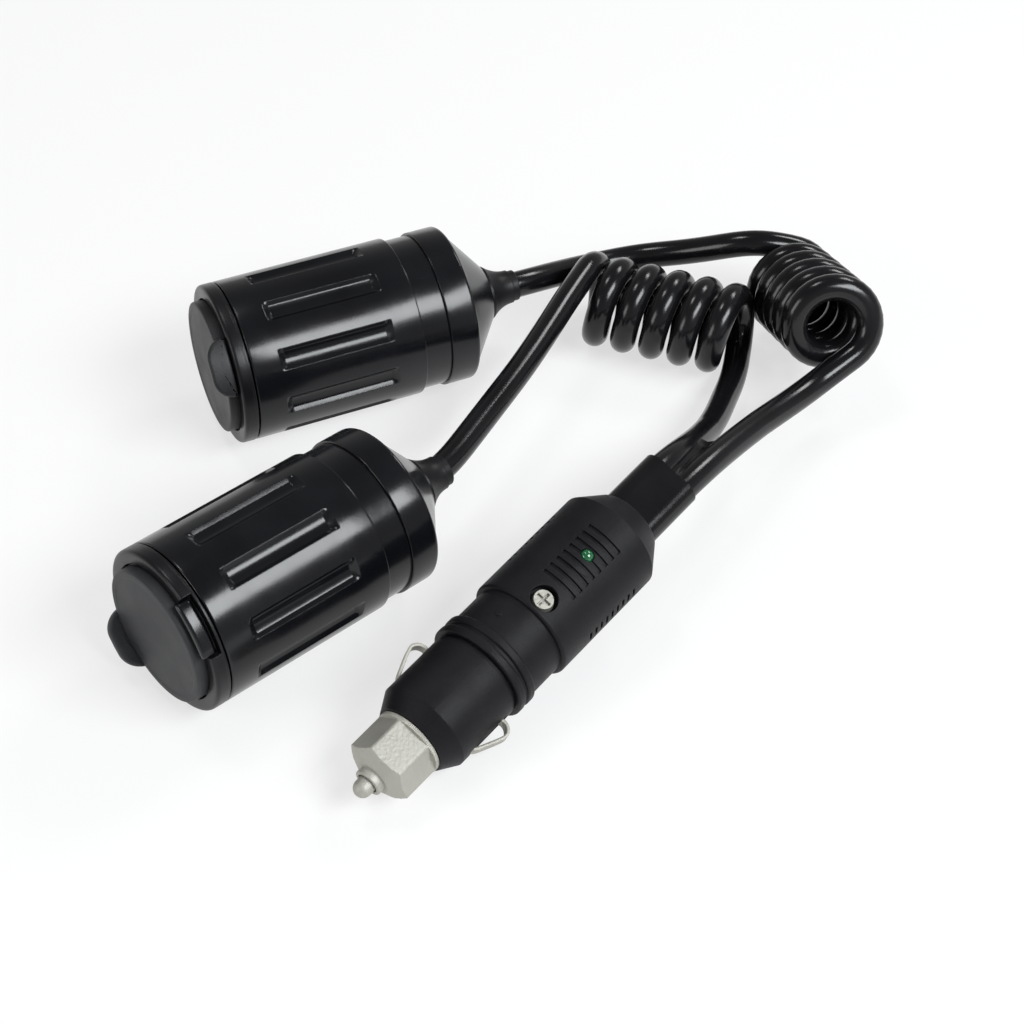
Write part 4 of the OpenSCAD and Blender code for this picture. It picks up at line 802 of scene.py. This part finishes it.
# the web: it starts inside the sleeve and ends where the cords are too far apart, in mm
WEB_INSIDE = 1.5
WEB_REACH = 2.2
WEB_STEP = 0.6
WEB_LONGEST = 60
WEB_OVERLAP_SHARE = 0.75
WEB_HALF, WEB_MIDDLE_HALF, WEB_AHEAD = 1.9, 1.35, 0.5
WEB_SECTION = ((-1, -WEB_HALF), (0, -WEB_MIDDLE_HALF), (1, -WEB_HALF),
               (1, WEB_HALF), (0, WEB_MIDDLE_HALF), (-1, WEB_HALF))


def build_web(mats):
    """The thin web that still joins the two cords just past their sleeve."""
    routes = []
    for at, heading, lead, coil, tail, side in CORDS:
        path = cord_route(at, heading, lead, coil, tail, side)[::-1]
        routes.append((path, lengths_along(path)))

    def points_at(along):
        return [np.array([np.interp(along, w, r[:, k]) for k in range(3)]) for r, w in routes]

    verts, rings = [], 0
    for along in np.arange(CORD_SLEEVE_END - PLUG_END_STATIONS[-1] - WEB_INSIDE, WEB_LONGEST, WEB_STEP):
        p, q = points_at(along)
        p2, q2 = points_at(along + WEB_AHEAD)
        reach = np.linalg.norm(q - p)
        if reach > 2 * CORD_R + WEB_REACH:
            break
        across = (q - p) / reach
        up = unit(np.cross(across, unit(p2 + q2 - p - q)))
        w = reach / 2 - WEB_OVERLAP_SHARE * CORD_R
        verts.extend((p + q) / 2 + across * u * w + up * v for u, v in WEB_SECTION)
        rings += 1
    n = len(WEB_SECTION)
    faces = [(i * n + k, i * n + (k + 1) % n, i * n + n + (k + 1) % n, i * n + n + k)
             for i in range(rings - 1) for k in range(n)]
    faces += [(0, 1, 4, 5), (1, 2, 3, 4)]
    end = (rings - 1) * n
    faces += [(end + 5, end + 4, end + 1, end), (end + 4, end + 3, end + 2, end + 1)]
    add_mesh("cord-web", np.array(verts) * MM, faces, None, "splitter", mats["cord_black"],
             sharp=40)


# light and stage
# area lamps: name, place, what it looks at, width, power, height, colour; metres and watts
LAMPS = (
    ("key", (0.63, -0.45, 0.75), (0, 0, 0.02), 0.66, 12.0, 0.38, (0.95, 0.98, 1.0)),
    ("top", (-0.25, 0.25, 0.95), (0, 0, 0), 0.2, 1.4),
    ("back", (0.55, 0.6, 0.74), (0.04, 0.03, 0.02), 0.3, 2.2, 0.2),
    ("left", (-0.8, -0.5, 0.45), (0, 0, 0.02), 0.4, 2.8, 0.5),
)
FLOOR_HALF = 6
FLOOR_ALBEDO = 0.84
FLOOR_ROUGH = 0.9
FLOOR_SPECULAR = 0.1
FLOOR_WHITE_SHARE = 0.66
# the sky's strength from the horizon up, and the heights between which it changes
SKY_HEIGHTS, SKY_STRENGTHS = (0.05, 0.75), (0.4, 0.16)


def area(name, at, look, size, power, size_y=None, colour=(1, 1, 1)):
    data = bpy.data.lights.new(name, "AREA")
    data.shape = "RECTANGLE"
    data.size, data.size_y = size, size_y or size
    data.energy = power
    data.color = colour
    obj = bpy.data.objects.new(name, data)
    bpy.context.scene.collection.objects.link(obj)
    at, look = np.array(at, float), np.array(look, float)
    back = unit(at - look)
    side = unit(np.cross((0, 0, 1.0), back)) if abs(back[2]) < 0.999 else np.array([1.0, 0, 0])
    up = np.cross(back, side)
    obj.matrix_world = Matrix(((side[0], up[0], back[0], at[0]), (side[1], up[1], back[1], at[1]),
                               (side[2], up[2], back[2], at[2]), (0, 0, 0, 1)))


def make_stage():
    mesh = bpy.data.meshes.new("floor")
    h = FLOOR_HALF
    mesh.from_pydata([(-h, -h, 0), (h, -h, 0), (h, h, 0), (-h, h, 0)], [], [(0, 1, 2, 3)])
    floor = bpy.data.objects.new("floor", mesh)
    bpy.context.scene.collection.objects.link(floor)
    mat = bpy.data.materials.new("floor")
    mat.use_nodes = True
    shader = mat.node_tree.nodes["Principled BSDF"]
    shader.inputs["Base Color"].default_value = (FLOOR_ALBEDO, FLOOR_ALBEDO, FLOOR_ALBEDO, 1)
    shader.inputs["Roughness"].default_value = FLOOR_ROUGH
    shader.inputs["Specular IOR Level"].default_value = FLOOR_SPECULAR
    # most of what the camera sees of the floor is plain white; the rest is lit and keeps the object's shadow
    tree = mat.node_tree
    link = tree.links.new
    path = tree.nodes.new("ShaderNodeLightPath")
    seen = path.outputs["Is Camera Ray"]
    for ray in ("Is Glossy Ray", "Is Transmission Ray"):
        either = tree.nodes.new("ShaderNodeMath")
        either.operation = "MAXIMUM"
        link(seen, either.inputs[0])
        link(path.outputs[ray], either.inputs[1])
        seen = either.outputs["Value"]
    share = ramp(tree, 0, 1, 0, FLOOR_WHITE_SHARE)
    link(seen, share.inputs["Value"])
    white = node(tree, "ShaderNodeEmission", Color=(1, 1, 1, 1), Strength=1.0)
    mix = tree.nodes.new("ShaderNodeMixShader")
    link(share.outputs["Result"], mix.inputs[0])
    link(shader.outputs["BSDF"], mix.inputs[1])
    link(white.outputs["Emission"], mix.inputs[2])
    link(mix.outputs["Shader"], tree.nodes["Material Output"].inputs["Surface"])
    mesh.materials.append(mat)

    world = bpy.data.worlds.new("world")
    bpy.context.scene.world = world
    world.use_nodes = True
    tree = world.node_tree
    back = tree.nodes["Background"]
    where = tree.nodes.new("ShaderNodeTexCoord")
    split = tree.nodes.new("ShaderNodeSeparateXYZ")
    tree.links.new(where.outputs["Generated"], split.inputs["Vector"])
    level = ramp(tree, *SKY_HEIGHTS, *SKY_STRENGTHS)
    tree.links.new(split.outputs["Z"], level.inputs["Value"])
    tree.links.new(level.outputs["Result"], back.inputs["Strength"])
    back.inputs["Color"].default_value = (1, 1, 1, 1)
    for lamp in LAMPS:
        area(*lamp)


# the rest of the CAD nodes
CAD_FINISH = {
    "insulator": ["front_housing", "rear_housing"],
    "tube_steel": ["front_contact_tube", "rear_contact_tube"],
    "brass": ["front_centre_contact", "rear_centre_contact", "front_centre_terminal", "rear_centre_terminal",
              "front_tube_terminal", "rear_tube_terminal", "rear_terminal", "contact_ring", "ground_strap",
              "positive_strap"],
    "wire_red": ["front_live_wire", "rear_live_wire", "left_live_wire", "right_live_wire"],
    "wire_black": ["front_return_wire", "rear_return_wire", "left_return_wire", "right_return_wire"],
    "nickel": ["contact_pin", "fuse_spring", "body_screw"],
    "fuse_glass": ["fuse"],
    "plug_black": ["front_sleeve", "ridge_ring", "upper_body", "lower_body"],
    "board_green": ["circuit_board"],
    "lens_green": ["lamp_lens"],
    "cord_black": ["cord_sleeve"],
}


def dress_nodes(mats):
    for key, names in CAD_FINISH.items():
        for n in names:
            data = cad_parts[n].data
            if not data.materials:
                data.materials.append(mats[key])
            for i in range(len(data.materials)):
                data.materials[i] = mats[key]


make_camera()
materials = {name: material(name, **settings) for name, settings in FINISHES.items()}
build_cord("front-cord", *CORDS[0], ["lead_a", "coil_a", "tail_a"], materials)
build_cord("rear-cord", *CORDS[1], ["lead_b", "coil_b", "tail_b"], materials)
build_web(materials)
build_socket("front", FRONT_AT, FRONT_HEADING, FRONT_ROLL, FRONT_CAP_ROLL, materials)
build_socket("rear", REAR_AT, REAR_HEADING, REAR_ROLL, REAR_CAP_ROLL, materials)
plug_place = place(PLUG_AT, PLUG_HEADING, PLUG_TILT, PLUG_ROLL)
build_nut(plug_place, materials)
turned = plug_place @ np.diag([-1.0, -1.0, 1.0, 1.0])
build_side_contact("right-side-strip", "right_side_contact", "right_contact", plug_place, materials)
build_side_contact("left-side-strip", "left_side_contact", "left_contact", turned, materials)
dress_nodes(materials)
make_stage()
bpy.context.scene.view_settings.view_transform = "Standard"
